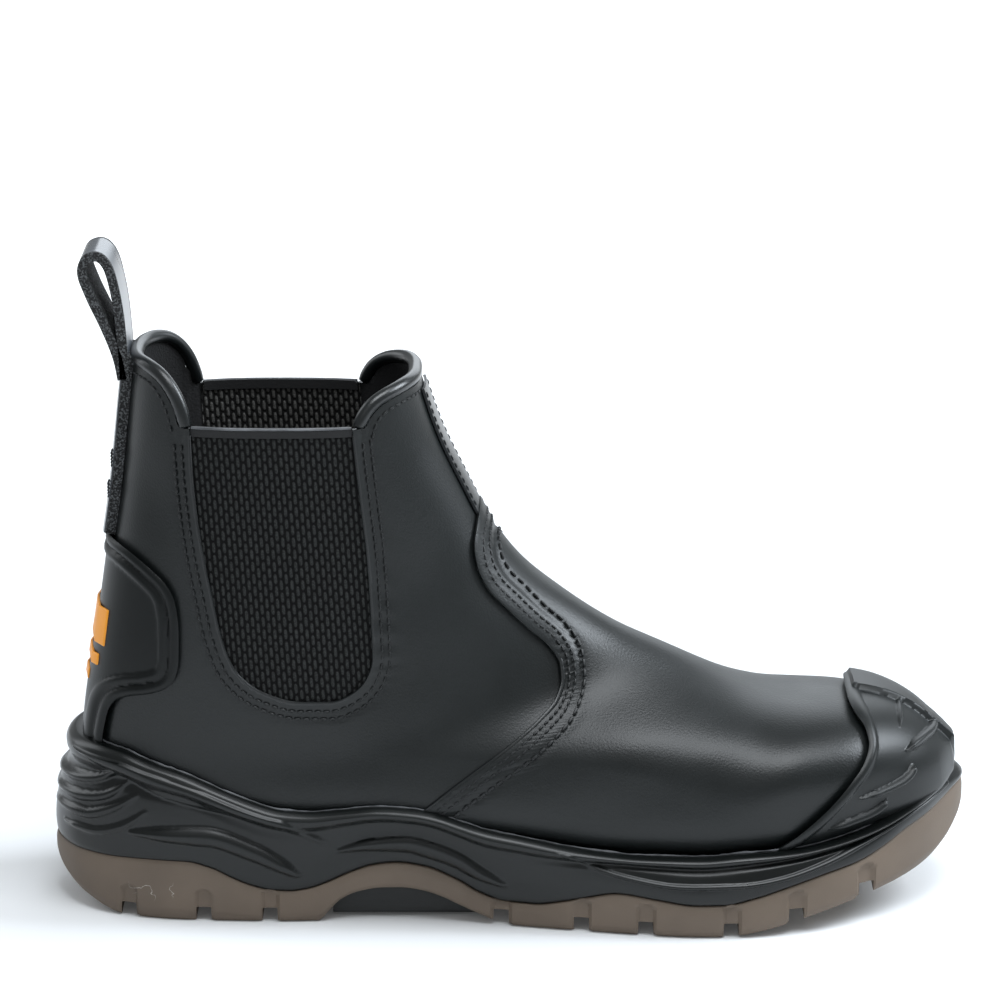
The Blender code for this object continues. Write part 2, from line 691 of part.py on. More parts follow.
def sole(tree, parts, tools):
    """Outsole, midsole and arch block."""
    ring, outward = plan_ring()
    rim = rim_ring(tree, ring, outward)
    outsole = outsole_solid("outsole", ring, outward, parts)
    boolean(outsole, groove_cutters("tread_grooves", tools), "DIFFERENCE")
    midsole = midsole_solid("midsole", rim, ring, outward, 0.0, parts)
    bands = midsole_solid("midsole_bands", rim, ring, outward, BAND_STEP, tools)
    boolean(bands, side_prism("band_outlines", [stroke(rows) for rows in BANDS], tools), "INTERSECT")
    boolean(midsole, bands, "UNION")
    cavity = last_solid("midsole_cavity", GAP, tools)
    boolean(cavity, side_prism("midsole_floor", [above(floor_line(FLOOR_RISE))], tools), "INTERSECT")
    boolean(midsole, cavity, "DIFFERENCE")
    dress(outsole, BROWN_RUBBER, 0.62)
    dress(midsole, BLACK_RUBBER, 0.42)
    dress(arch_block(ring, parts), BLACK_RUBBER, 0.55)


def arch_block(ring, parts):
    """Block under the waist, its roof just under the outsole."""
    start, end, lateral, medial = ARCH_BLOCK
    stations = ring[:STATIONS, 0]
    between = stations[(stations > along(start)) & (stations < along(end))]
    x = np.concatenate([[along(start)], between, [along(end)]])
    ceiling = np.interp(x, stations, height_line(TREAD, stations))
    floor = [(x[-1], BLOCK_BOTTOM), (x[0], BLOCK_BOTTOM)]
    roof = [(a, b - GAP) for a, b in zip(x, ceiling)]
    return side_prism("arch_block", [roof + floor], parts, -across(lateral), across(medial))


def toe_side(line):
    """Outline of everything in front of a side view line that runs down."""
    toe_x = along(PAST_TOE)
    line = [tuple(p) for p in line]
    return line + [(toe_x, line[-1][1]), (toe_x, line[0][1])]


def heel_side(line):
    """Outline of everything behind a side view line that runs down."""
    heel_x = HEEL_BACK - REACH
    line = [tuple(p) for p in line]
    return [(heel_x, line[0][1])] + line + [(heel_x, line[-1][1])]


def upper_body(parts, tools):
    """Hollow leather body, open at the collar, at the elastic and underneath."""
    upper = last_solid("upper", 0.0, parts)
    vamp = last_solid("vamp_layer", VAMP_STEP, tools)
    boolean(vamp, side_prism("vamp_outline", [toe_side(side_line(SEAM, 22))], tools), "INTERSECT")
    vamp_low = rim_line(2.0 * GAP, along(VAMP_BACK), along(PAST_TOE))
    boolean(vamp, side_prism("vamp_bottom", [above(vamp_low)], tools), "INTERSECT")
    boolean(upper, vamp, "UNION")
    over_collar = collar_outline(2.0 * (ROLL_RADIUS + GAP))
    boolean(upper, side_prism("over_collar", [over_collar], tools), "DIFFERENCE")
    boolean(upper, last_solid("last_inside", -WALL, tools), "DIFFERENCE")
    underneath = below(floor_line(FLOOR_RISE + GAP))
    boolean(upper, side_prism("underneath", [underneath], tools), "DIFFERENCE")
    boolean(upper, side_prism("gore_opening", [gore_outline(0.0, up(CUT_TOP))], tools), "DIFFERENCE")
    dress(upper, BLACK_LEATHER, 0.38)


def inner_sole(parts, tools):
    """Thin sock over the inside floor."""
    insole = last_solid("insole", -WALL - GAP, parts)
    low = FLOOR_RISE + GAP
    slab = floor_line(low) + floor_line(low + INSOLE_THICK)[::-1]
    boolean(insole, side_prism("insole_slab", [slab], tools), "INTERSECT")
    dress(insole, GREY_FELT, 0.90)


def gores(parts, tools):
    """Elastic panels in both cut-outs, a little under the leather's surface."""
    behind = last_solid("gore_back", -GORE_RECESS - GORE_THICK, tools)
    shape = gore_outline(GAP, up(GORE_TOP))
    for name, near, far in (("gore_lateral", -REACH, 0.0), ("gore_medial", 0.0, REACH)):
        gore = last_solid(name, -GORE_RECESS, parts)
        boolean(gore, side_prism(name + "_outline", [shape], tools, near, far), "INTERSECT")
        boolean(gore, behind, "DIFFERENCE")
        dress(gore, BLACK_CLOTH, 0.85)


def toe_guard(parts, tools):
    """Moulded guard over the toe, with its centre band and ribs."""
    outer = VAMP_STEP + GAP + GUARD_THICK
    guard = last_solid("toe_guard", outer, parts)
    ribs = last_solid("guard_ribs", outer + GUARD_RIB, tools)
    boolean(ribs, side_prism("rib_outlines", [stroke(rows) for rows in RIBS], tools), "INTERSECT")
    boolean(guard, ribs, "UNION")
    band = last_solid("guard_band", outer + GUARD_BAND, tools)
    low = (along(TOE_BAND_START), TOE_BAND_MIDDLE - TOE_BAND_HALF, up(TOE_BAND_BOTTOM))
    high = (along(PAST_TOE), TOE_BAND_MIDDLE + TOE_BAND_HALF, up(TOE_BAND_TOP))
    boolean(band, box("band_box", low, high, tools), "INTERSECT")
    boolean(guard, band, "UNION")
    boolean(guard, side_prism("guard_outline", [toe_side(side_line(GUARD))], tools), "INTERSECT")
    low_line = rim_line(GAP, along(GUARD[-1][0]), along(GUARD_FRONT))
    boolean(guard, side_prism("guard_bottom", [above(low_line)], tools), "INTERSECT")
    boolean(guard, last_solid("last_under_guard", VAMP_STEP + GAP, tools), "DIFFERENCE")
    dress(guard, BLACK_RUBBER, 0.40)


def heel_counter(parts, tools):
    """Moulded heel piece with a raised border, and the plain bars on it."""
    line = side_line(COUNTER, 26)
    top = GAP + COUNTER_THICK
    counter = heel_skin("heel_counter", GAP, top, parts)
    border = heel_skin("counter_border", GAP + COUNTER_THICK / 2.0, top + COUNTER_BORDER, tools)
    middle = heel_side(shifted(line, -BORDER_WIDTH))
    boolean(border, side_prism("counter_middle", [middle], tools), "DIFFERENCE")
    boolean(counter, border, "UNION")
    boolean(counter, side_prism("counter_outline", [heel_side(line)], tools), "INTERSECT")
    low_line = rim_line(2.0 * GAP, HEEL_BACK - REACH, along(COUNTER_FRONT))
    boolean(counter, side_prism("over_heel_rim", [above(low_line)], tools), "INTERSECT")
    dress(counter, BLACK_RUBBER, 0.45)
    for number, (bottom, ceiling, half) in enumerate(BARS, 1):
        name = "counter_bar_%d" % number
        bar = heel_skin(name, top + GAP, top + GAP + BAR_THICK, parts)
        low = (HEEL_BACK - REACH, -across(half), up(bottom))
        high = (along(BARS_FRONT), across(half), up(ceiling))
        boolean(bar, box(name + "_box", low, high, tools), "INTERSECT")
        dress(bar, ORANGE_PRINT, 0.50)


def front_strip(grown, parts, tools):
    """Narrow leather strip down the middle of the front tab."""
    strip = last_solid("front_strip", GAP + STRIP_THICK, parts)
    low = (along(STRIP_BACK), -STRIP_HALF, up(STRIP_LOW))
    high = (along(STRIP_FRONT), STRIP_HALF, up(STRIP_HIGH))
    boolean(strip, box("strip_box", low, high, tools), "INTERSECT")
    boolean(strip, grown, "DIFFERENCE")
    dress(strip, BLACK_LEATHER, 0.40)


def pull_loop(grown, roll_room, parts, tools):
    """Strap up the back, from the counter to the collar, with the loop on its end."""
    loop = last_solid("pull_loop", GAP + STRAP_THICK, parts)
    low = (HEEL_BACK - REACH, -STRAP_HALF, up(COUNTER[0][1]) + GAP)
    high = (along(BARS_FRONT), STRAP_HALF, up(STRAP_TOP))
    boolean(loop, box("strap_box", low, high, tools), "INTERSECT")
    line = side_line(LOOP, 30)
    outside = shifted(line, -LOOP_THICK / 2.0, True)
    inside = shifted(line[LOOP_CLOSED:-LOOP_CLOSED], LOOP_THICK / 2.0)
    ribbon = side_prism("loop_ribbon", [outside], tools, -STRAP_HALF, STRAP_HALF)
    boolean(ribbon, side_prism("loop_hole", [inside], tools), "DIFFERENCE")
    boolean(loop, ribbon, "UNION")
    boolean(loop, grown, "DIFFERENCE")
    boolean(loop, roll_room, "DIFFERENCE")
    dress(loop, BLACK_CLOTH, 0.75)


def build():
    for old in list(bpy.data.objects):
        bpy.data.objects.remove(old)
    parts = bpy.data.collections.new("side_gore_work_boot")
    tools = bpy.data.collections.new("cutters")
    bpy.context.scene.collection.children.link(parts)
    bpy.context.scene.collection.children.link(tools)

    grown = last_solid("last_with_gap", GAP, tools)
    sole(solid_tree(last_solid("last_plain", 0.0, tools)), parts, tools)
    upper_body(parts, tools)
    inner_sole(parts, tools)
    gores(parts, tools)
    toe_guard(parts, tools)
    heel_counter(parts, tools)
    front_strip(grown, parts, tools)

    wall_tree = solid_tree(last_solid("last_middle", -WALL / 2.0, tools))
    back_path = roll_path(wall_tree, COLLAR_BACK, -1.0)
    front_path = roll_path(wall_tree, COLLAR_FRONT, 1.0)
    dress(tube("collar_roll_back", back_path, ROLL_RADIUS, parts), BLACK_LEATHER, 0.40)
    dress(tube("collar_roll_front", front_path, ROLL_RADIUS, parts), BLACK_LEATHER, 0.40)
    pull_loop(grown, tube("roll_room", back_path, ROLL_RADIUS + GAP, tools), parts, tools)

    for cutter in tools.objects:
        cutter.hide_render = True
        cutter.display_type = "WIRE"


build()
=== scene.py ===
"""Looks of the side gore work boot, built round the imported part.

Same frame as the part: metres, +X to the toe, +Y medial, +Z up, lateral side
towards the camera. Tables give lengths as shares of LENGTH (from the back of
the heel), HEIGHT (from the floor) and BALL_WIDTH, as the part's source does.
"""
import math

import bmesh
import bpy
import numpy as np
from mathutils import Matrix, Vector
from mathutils.bvhtree import BVHTree


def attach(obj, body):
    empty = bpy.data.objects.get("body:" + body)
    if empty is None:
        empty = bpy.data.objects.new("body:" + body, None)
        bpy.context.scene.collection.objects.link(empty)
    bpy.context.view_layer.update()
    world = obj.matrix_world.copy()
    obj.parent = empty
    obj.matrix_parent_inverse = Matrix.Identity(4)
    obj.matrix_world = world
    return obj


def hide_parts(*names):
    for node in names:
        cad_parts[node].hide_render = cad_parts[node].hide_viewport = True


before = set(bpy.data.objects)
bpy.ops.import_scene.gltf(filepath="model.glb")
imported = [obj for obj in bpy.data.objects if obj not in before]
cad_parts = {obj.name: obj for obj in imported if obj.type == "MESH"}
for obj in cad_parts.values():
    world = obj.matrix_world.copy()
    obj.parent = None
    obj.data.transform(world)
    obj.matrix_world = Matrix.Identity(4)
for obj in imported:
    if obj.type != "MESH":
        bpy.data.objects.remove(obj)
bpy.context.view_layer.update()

# Named sizes of the boot
LENGTH = 0.312
HEIGHT = 0.195
BALL_WIDTH = 0.110
HEEL_BACK = -0.040
GAP = 0.0003
REACH = 0.090
# Far behind the heel, far ahead of the toe
BEHIND = HEEL_BACK - REACH
AHEAD = HEEL_BACK + 1.3 * LENGTH
# Distances that count as one point when meshes are merged, and as on the line when they are cut
MERGE = 0.00001
MERGE_FINE = 0.000001
TINY = 1e-12
ON_LINE = 0.000004

# Leather, elastic and collar
WALL = 0.0020
VAMP_STEP = 0.0012
GORE_RECESS = 0.0007
GORE_THICK = 0.0012
# Tape along the top of the elastic: out from it, over and under its top, thick, radius of its pale edge
TAPE_OUT = 0.0004
TAPE_OVER = 0.0006
TAPE_UNDER = 0.0026
TAPE_THICK = 0.0020
EDGE_RADIUS = 0.00045
ROLL_RADIUS = 0.0023
ROLL_IN = 0.0011
FLOOR_RISE = 0.0032

# Guards, strip and loop
GUARD_OUT = 0.0036
GUARD_THICK = 0.0022
COUNTER_OUT = 0.0017
COUNTER_THICK = 0.0014
STRIP_OUT = 0.0013
STRIP_THICK = 0.0009
STRIP_HALF = 0.0105
STRIP_SPAN = (0.694, 0.915)
STRAP_OUT = 0.0038
STRAP_THICK = 0.0038
STRAP_HALF = 0.0125
STRAP_TOP = 0.975
# Bar tacks across the strap: heights, places across
TACK_HEIGHTS = (0.790, 0.735)
TACK_SIDES = (-0.009, 0.009)
LOOP_THICK = 0.0031

# Stitches
STITCH_LONG = 0.0021
STITCH_PITCH = 0.0029
STITCH_RADIUS = 0.00042
RUN_STEP = 0.0005
# One stitch: place along it, height in radii, share of the radius
STITCH_ARCH = ((-1.0, -0.9, 0.6), (-0.7, 0.1, 1.0), (0.0, 0.45, 1.0), (0.7, 0.1, 1.0), (1.0, -0.9, 0.6))
# Rows on the vamp: distance ahead of its edge, and size of the stitches
VAMP_ROWS = ((0.0020, 0.9), (0.0040, 0.9), (0.0072, 1.25))
# Rows round the elastic and under the collar: distance out from the cut-out or from the roll
GORE_ROWS = (0.0031, 0.0056)
COLLAR_ROW = 0.0022
# How far the leather is drawn down at the stitches, and the half width of that trough
VAMP_DIP = (0.0005, 0.0010)
GORE_DIP = (0.00035, 0.0009)
# Padded swell behind the vamp's edge, and folded edge round the elastic: rise, half width, distance
VAMP_PUFF = (0.0008, 0.0034, 0.0027)
GORE_FOLD = (0.0005, 0.0028)

# Sole
RIM_LIFT = 0.0070
TREAD_EDGE = 0.0022
GROOVE_WIDTH = 0.0056
GROOVE_DEPTH = 0.0050
GROOVE_WEB = 0.0060
RECESS_HALF = 0.0031
RECESS_TALL = 0.0068
RECESS_DEPTH = 0.0012
GLUE_SEED = 7
# Shares of the midsole's height between which its side has relief
RELIEF_BAND = (0.03, 0.93)

# Camera, from the photograph
CAMERA_AT = (0.116, -1.5341, 0.5534)
CAMERA_DOWN = math.radians(15.18)
CAMERA_LENS = 169.3
CAMERA_SENSOR = 36.0
CAMERA_SHIFT = -0.010

# Studio: name, place, target, width, height, power and colour of each light
LIGHTS = (
    ("top_light", (0.32, -0.38, 1.35), (0.14, 0.0, 0.08), 0.9, 0.7, 14.5, (0.92, 0.96, 1.0)),
    ("back_light", (-0.9, 0.55, 0.65), (0.0, 0.0, 0.10), 0.5, 0.9, 3.2, (0.92, 0.96, 1.0)),
    ("ridge_light", (0.30, 1.25, 0.64), (0.15, 0.0, 0.10), 0.9, 0.8, 4.5, (0.88, 0.94, 1.0)),
    ("front_light", (1.22, 0.12, 0.98), (0.15, 0.0, 0.08), 0.6, 0.7, 21.0, (0.86, 0.93, 1.0)),
    ("side_light", (-0.10, -1.25, 0.95), (0.1, 0.0, 0.08), 1.0, 0.5, 0.6, (1.0, 1.0, 1.0)),
)
WORLD_COLOUR = (0.92, 0.97, 1.0)
WORLD_STRENGTH = 0.36

# The last, one fan section a row from the collar down and round to the toe:
# front x, front z, back x, back z, lateral, medial, widest place, back and front roundness
LAST_ROWS = (
    (0.3846, 1.0667, 0.1050, 1.0667, 0.330, 0.322, 0.50, 2.6, 2.80),
    (0.3926, 0.9949, 0.0985, 0.9949, 0.330, 0.322, 0.50, 2.6, 2.80),
    (0.4071, 0.9077, 0.0907, 0.8974, 0.332, 0.324, 0.50, 2.6, 2.75),
    (0.4247, 0.8256, 0.0844, 0.8051, 0.332, 0.324, 0.49, 2.6, 2.65),
    (0.4487, 0.7487, 0.0775, 0.7179, 0.332, 0.324, 0.47, 2.6, 2.50),
    (0.4776, 0.6615, 0.0685, 0.6256, 0.332, 0.324, 0.45, 2.7, 2.35),
    (0.5112, 0.5923, 0.0590, 0.5231, 0.336, 0.323, 0.43, 2.7, 2.20),
    (0.5497, 0.5436, 0.0490, 0.4308, 0.341, 0.323, 0.42, 2.6, 2.10),
    (0.5881, 0.5015, 0.0391, 0.3333, 0.341, 0.323, 0.42, 2.5, 2.00),
    (0.6234, 0.4692, 0.0353, 0.2410, 0.345, 0.323, 0.44, 2.5, 2.00),
    (0.6554, 0.4462, 0.0449, 0.1744, 0.350, 0.323, 0.47, 2.8, 2.00),
    (0.6843, 0.4246, 0.1090, 0.1513, 0.364, 0.332, 0.52, 3.2, 2.00),
    (0.7131, 0.4010, 0.2308, 0.1487, 0.382, 0.355, 0.58, 3.6, 2.05),
    (0.7404, 0.3790, 0.3590, 0.1436, 0.405, 0.386, 0.62, 3.8, 2.10),
    (0.7660, 0.3635, 0.4808, 0.1256, 0.427, 0.409, 0.60, 3.6, 2.20),
    (0.7933, 0.3545, 0.5929, 0.1067, 0.445, 0.427, 0.52, 3.4, 2.30),
    (0.8221, 0.3510, 0.6891, 0.1031, 0.450, 0.441, 0.46, 3.3, 2.40),
    (0.8542, 0.3490, 0.7692, 0.1077, 0.423, 0.436, 0.42, 3.2, 2.50),
    (0.8862, 0.3430, 0.8333, 0.1256, 0.373, 0.409, 0.42, 3.0, 2.50),
    (0.9135, 0.3300, 0.8878, 0.1462, 0.300, 0.355, 0.43, 2.8, 2.40),
    (0.9390, 0.3080, 0.9300, 0.1641, 0.220, 0.283, 0.45, 2.7, 2.30),
    (0.9580, 0.2800, 0.9550, 0.1850, 0.128, 0.196, 0.47, 2.5, 2.20),
    (0.9690, 0.2600, 0.9690, 0.2120, 0.030, 0.095, 0.50, 2.2, 2.20),
)
FIRST_BOTTOM_ROW = 10
# Steps between two rows, and how many of them a row is softened over
ROW_STEPS = 16
ROW_SOFT = 14
TIP_OUT = 0.0012

# Sole outline from above: place, lateral, medial
SOLE_PLAN = (
    (0.00, 0.000, 0.000), (0.01, 0.118, 0.118), (0.03, 0.205, 0.200),
    (0.08, 0.300, 0.291), (0.15, 0.348, 0.336), (0.25, 0.359, 0.336),
    (0.35, 0.350, 0.309), (0.45, 0.368, 0.300), (0.55, 0.427, 0.345),
    (0.65, 0.486, 0.418), (0.70, 0.503, 0.455), (0.75, 0.500, 0.482),
    (0.80, 0.477, 0.491), (0.85, 0.427, 0.473), (0.90, 0.341, 0.418),
    (0.95, 0.209, 0.327), (0.98, 0.082, 0.236), (1.00, -0.082, 0.082),
)

# Heights along the sole: place, height
TREAD = (
    (0.0000, 0.0800), (0.0050, 0.0620), (0.0150, 0.0430), (0.0390, 0.0205),
    (0.0710, 0.0020), (0.0860, 0.0000), (0.2930, 0.0000), (0.3040, 0.0170),
    (0.3160, 0.0370), (0.3350, 0.0520), (0.3622, 0.0595), (0.3846, 0.0600),
    (0.4038, 0.0559), (0.4244, 0.0462), (0.4455, 0.0308), (0.4679, 0.0154),
    (0.4872, 0.0041), (0.5064, 0.0000), (0.7308, 0.0000), (0.7692, 0.0082),
    (0.8333, 0.0318), (0.8974, 0.0544), (0.9295, 0.0646), (0.9583, 0.0779),
    (0.9808, 0.0974), (0.9936, 0.1231), (1.0000, 0.1487),
)
JOINT = (
    (0.0000, 0.1060), (0.0200, 0.1050), (0.0600, 0.1060), (0.1186, 0.1080),
    (0.1480, 0.1075), (0.1779, 0.0960), (0.1987, 0.0800), (0.2200, 0.0660),
    (0.2404, 0.0580),
    (0.2628, 0.0559), (0.2821, 0.0600), (0.3013, 0.0703), (0.3269, 0.0887),
    (0.3526, 0.1026), (0.3782, 0.1072), (0.4071, 0.1015), (0.4423, 0.0790),
    (0.4679, 0.0560), (0.4936, 0.0440), (0.5256, 0.0430), (0.5545, 0.0510),
    (0.5833, 0.0625), (0.6154, 0.0728), (0.6603, 0.0646), (0.6987, 0.0574),
    (0.7276, 0.0579), (0.7660, 0.0708), (0.8013, 0.0872), (0.8397, 0.1036),
    (0.8782, 0.1169), (0.9038, 0.1330), (0.9295, 0.1530), (0.9551, 0.1667),
    (0.9744, 0.1790), (0.9888, 0.1880), (1.0000, 0.1910),
)
RIM = (
    (0.0000, 0.2970), (0.0192, 0.2990), (0.0417, 0.3000), (0.0769, 0.2970),
    (0.1090, 0.2821), (0.1506, 0.2641), (0.1891, 0.2395), (0.2308, 0.2144),
    (0.2500, 0.2062), (0.2821, 0.2031), (0.3205, 0.2092), (0.3590, 0.2154),
    (0.3974, 0.2123), (0.4199, 0.2062), (0.4423, 0.1944), (0.4744, 0.1785),
    (0.5096, 0.1682), (0.5449, 0.1569), (0.5769, 0.1482), (0.6410, 0.1400),
    (0.7051, 0.1390), (0.7436, 0.1446), (0.8077, 0.1487), (0.8397, 0.1549),
    (0.8718, 0.1641), (0.8974, 0.1744), (0.9167, 0.1846), (0.9359, 0.1969),
    (0.9551, 0.2090), (0.9744, 0.2240), (1.0000, 0.2400),
)
RIM_WIDTH = ((0.00, 0.0058), (0.04, 0.0052), (0.12, 0.0037), (0.30, 0.0034), (1.00, 0.0034))

# Side of the midsole from the joint up to the rim: height, way in to the rim, bulge in metres
MIDSOLE_SIDE = (
    (0.00, 0.00, -0.0009), (0.04, 0.00, -0.0003), (0.12, 0.00, 0.0000), (0.38, 0.18, 0.0003),
    (0.62, 0.48, 0.0001), (0.75, 0.78, -0.0006), (0.80, 0.86, 0.0004), (0.855, 0.92, 0.0017),
    (0.91, 0.97, 0.0021), (0.960, 0.99, 0.0014), (0.99, 1.00, 0.0001), (1.00, 1.00, -0.0006),
)
# Side of the outsole from the tread up to the joint: height, share of the tread's edge that it lies in
OUTSOLE_SIDE = (
    (0.00, 1.00), (0.03, 0.62), (0.10, 0.30), (0.22, 0.00), (0.60, 0.00), (0.96, 0.26), (1.00, 0.50),
)

# Top of the elastic as a height, and lines seen from the side: place, height
GORE_TOP = 0.874
GORE = (
    (0.1615, 0.9333), (0.1619, 0.8718), (0.1631, 0.8067), (0.1679, 0.7195),
    (0.1744, 0.6487), (0.1830, 0.5779), (0.1920, 0.5097), (0.2067, 0.4513),
    (0.2346, 0.4144), (0.2753, 0.3959), (0.3074, 0.3959), (0.3311, 0.4103),
    (0.3471, 0.4369), (0.3538, 0.4728), (0.3522, 0.5436), (0.3484, 0.6487),
    (0.3413, 0.7544), (0.3365, 0.8241), (0.3340, 0.8718), (0.3327, 0.9333),
)
SEAM = (
    (0.4680, 0.7700), (0.4675, 0.7150), (0.4645, 0.6822), (0.4615, 0.6486),
    (0.4650, 0.6150), (0.4780, 0.5740), (0.4990, 0.5390), (0.5215, 0.5037),
    (0.5431, 0.4730), (0.5545, 0.4440), (0.5565, 0.4180), (0.5500, 0.3880),
    (0.5350, 0.3630), (0.5100, 0.3310), (0.4679, 0.2822), (0.4207, 0.2236),
    (0.3880, 0.1750), (0.3600, 0.0800),
)
COLLAR_BACK = (
    (0.0321, 0.9836), (0.0897, 0.9836), (0.1090, 0.9831), (0.1250, 0.9759),
    (0.1385, 0.9600), (0.1494, 0.9364), (0.1571, 0.9103), (0.1622, 0.8795),
)
COLLAR_FRONT = (
    (0.3330, 0.8641), (0.3378, 0.8903), (0.3462, 0.9123), (0.3590, 0.9292),
    (0.3750, 0.9405), (0.3942, 0.9477), (0.4327, 0.9497),
)
GUARD = (
    (0.8654, 0.4615), (0.8654, 0.3769), (0.8673, 0.3641), (0.8731, 0.3538),
    (0.8821, 0.3385), (0.8856, 0.3179), (0.8814, 0.2964), (0.8638, 0.2595),
    (0.8413, 0.2205), (0.8077, 0.1733), (0.7804, 0.1405), (0.7564, 0.1026),
)
COUNTER = (
    (0.0000, 0.6595), (0.0737, 0.6585), (0.0888, 0.6523), (0.1045, 0.6390),
    (0.1202, 0.6215), (0.1340, 0.6010), (0.1433, 0.5713), (0.1468, 0.5241),
    (0.1462, 0.4703), (0.1420, 0.4379), (0.1308, 0.4164), (0.1122, 0.4041),
    (0.0904, 0.3949), (0.0753, 0.3826), (0.0673, 0.3641), (0.0628, 0.3385),
    (0.0593, 0.3077), (0.0577, 0.2600),
)
GROOVES = (0.0865, 0.1686, 0.2404, 0.4904, 0.5769, 0.6458, 0.7372, 0.8077, 0.8846)
LOOP = (
    (0.0885, 0.9330), (0.0880, 0.9560), (0.0865, 1.0000), (0.0845, 1.0410),
    (0.0795, 1.0923), (0.0720, 1.1333), (0.0612, 1.1487), (0.0503, 1.1436),
    (0.0452, 1.1231), (0.0530, 1.0821), (0.0660, 1.0359), (0.0765, 0.9949),
    (0.0825, 0.9650), (0.0860, 0.9330),
)

# Relief on the side of the midsole: rows of place, height and half width in metres, then the rise.
# Four fins round the heel, two long swells of the side, the ridge under the rim, the ridge of the forepart
SOLE_RELIEF = (
    (((0.0040, 0.2250, 0.0003), (0.0120, 0.2285, 0.0012), (0.0336, 0.2351, 0.0016), (0.0570, 0.2452, 0.0014),
      (0.0854, 0.2706, 0.0004)), 0.0015),
    (((0.0030, 0.1980, 0.0003), (0.0110, 0.2015, 0.0012), (0.0335, 0.2046, 0.0018), (0.0626, 0.2165, 0.0016),
      (0.0905, 0.2489, 0.0004)), 0.0015),
    (((0.0030, 0.1710, 0.0003), (0.0110, 0.1750, 0.0012), (0.0387, 0.1763, 0.0019), (0.0681, 0.1934, 0.0017),
      (0.1000, 0.2260, 0.0004)), 0.0015),
    (((0.0150, 0.1480, 0.0006), (0.0450, 0.1480, 0.0014), (0.0800, 0.1640, 0.0014),
      (0.1080, 0.1960, 0.0004)), 0.0010),
    (((0.0900, 0.1560, 0.0008), (0.1260, 0.1575, 0.0026), (0.1730, 0.1560, 0.0036), (0.2223, 0.1310, 0.0034),
      (0.2524, 0.1060, 0.0026), (0.2700, 0.0880, 0.0012)), 0.0026),
    (((0.3150, 0.1330, 0.0008), (0.3494, 0.1430, 0.0024), (0.3871, 0.1450, 0.0032), (0.4140, 0.1350, 0.0034),
      (0.4409, 0.1200, 0.0032), (0.4677, 0.0950, 0.0026), (0.4935, 0.0760, 0.0010)), 0.0022),
    (((0.0180, 0.2930, 0.0005), (0.0438, 0.2900, 0.0024), (0.0799, 0.2760, 0.0036), (0.1239, 0.2440, 0.0038),
      (0.1672, 0.2240, 0.0034), (0.2103, 0.2060, 0.0026), (0.2528, 0.1840, 0.0020),
      (0.3009, 0.1480, 0.0008)), 0.0020),
    (((0.5503, 0.1508, 0.0004), (0.6113, 0.1104, 0.0009), (0.6881, 0.0930, 0.0010), (0.7458, 0.0950, 0.0010),
      (0.7834, 0.1021, 0.0010), (0.8332, 0.1224, 0.0010), (0.8775, 0.1473, 0.0010), (0.9419, 0.1874, 0.0009),
      (0.9761, 0.2041, 0.0008)), 0.0011),
)

# Ribs on the toe guard, in the same way
GUARD_RELIEF = (
    (((0.9760, 0.2920, 0.0004), (0.9514, 0.3001, 0.0013), (0.9390, 0.2980, 0.0015),
      (0.9284, 0.2937, 0.0004)), 0.0021),
    (((0.9340, 0.2680, 0.0004), (0.9329, 0.2600, 0.0013), (0.9235, 0.2479, 0.0015), (0.9033, 0.2390, 0.0014),
      (0.8753, 0.2320, 0.0004)), 0.0021),
    (((0.9040, 0.2180, 0.0004), (0.9014, 0.2109, 0.0013), (0.8892, 0.1997, 0.0015), (0.8648, 0.1906, 0.0014),
      (0.8431, 0.1826, 0.0004)), 0.0019),
    (((0.9260, 0.3480, 0.0003), (0.9245, 0.3380, 0.0012), (0.9222, 0.3260, 0.0003)), 0.0009),
)
# Raised band over the toe: half width, middle across, first place, lowest height, rise, softness of its edges
GUARD_BAND_HALF = 0.0120
GUARD_BAND_MIDDLE = 0.0095
GUARD_BAND_START = 0.872
GUARD_BAND_LOW = 0.262
GUARD_BAND_RISE = 0.0021
GUARD_BAND_SOFT = 0.0010
# Relief along an edge: rise, half width, distance in from the edge
GUARD_BORDER = (0.0009, 0.0017, 0.0016)
COUNTER_BORDER = (0.0010, 0.0017)
COUNTER_INSETS = (0.0016, 0.0056)
# Foot of the guard flowing out into the sole: first place, run to its full rise, height over the rim, rise
GUARD_FOOT = (0.90, 0.020, 0.018, 0.0022)


def along(share):
    return HEEL_BACK + np.asarray(share) * LENGTH


def up(share):
    return np.asarray(share) * HEIGHT


def across(share):
    return np.asarray(share) * BALL_WIDTH


def smooth(keys, values, at):
    """Smooth line through table rows, level wherever the rows turn back."""
    keys = np.asarray(keys, float)
    values = np.asarray(values, float)
    step = np.diff(keys)
    rise = np.diff(values) / step
    slope = np.zeros(len(keys))
    slope[0] = rise[0]
    slope[-1] = rise[-1]
    for i in range(1, len(keys) - 1):
        if rise[i - 1] * rise[i] > 0.0:
            slope[i] = 2.0 * rise[i - 1] * rise[i] / (rise[i - 1] + rise[i])
    at = np.clip(np.asarray(at, float), keys[0], keys[-1])
    cell = np.clip(np.searchsorted(keys, at) - 1, 0, len(step) - 1)
    t = (at - keys[cell]) / step[cell]
    start = values[cell] * (1 + 2 * t) * (1 - t) ** 2 + values[cell + 1] * t * t * (3 - 2 * t)
    return start + step[cell] * t * (1 - t) * (slope[cell] * (1 - t) - slope[cell + 1] * t)


def softened(values, reach):
    """Values averaged over a few neighbours, with the ends held."""
    weights = np.exp(-np.linspace(-2.0, 2.0, 2 * reach + 1) ** 2)
    weights /= weights.sum()
    first = 2.0 * values[0] - values[1:reach + 1][::-1]
    last = 2.0 * values[-1] - values[-reach - 1:-1][::-1]
    return np.convolve(np.concatenate([first, values, last]), weights, "valid")


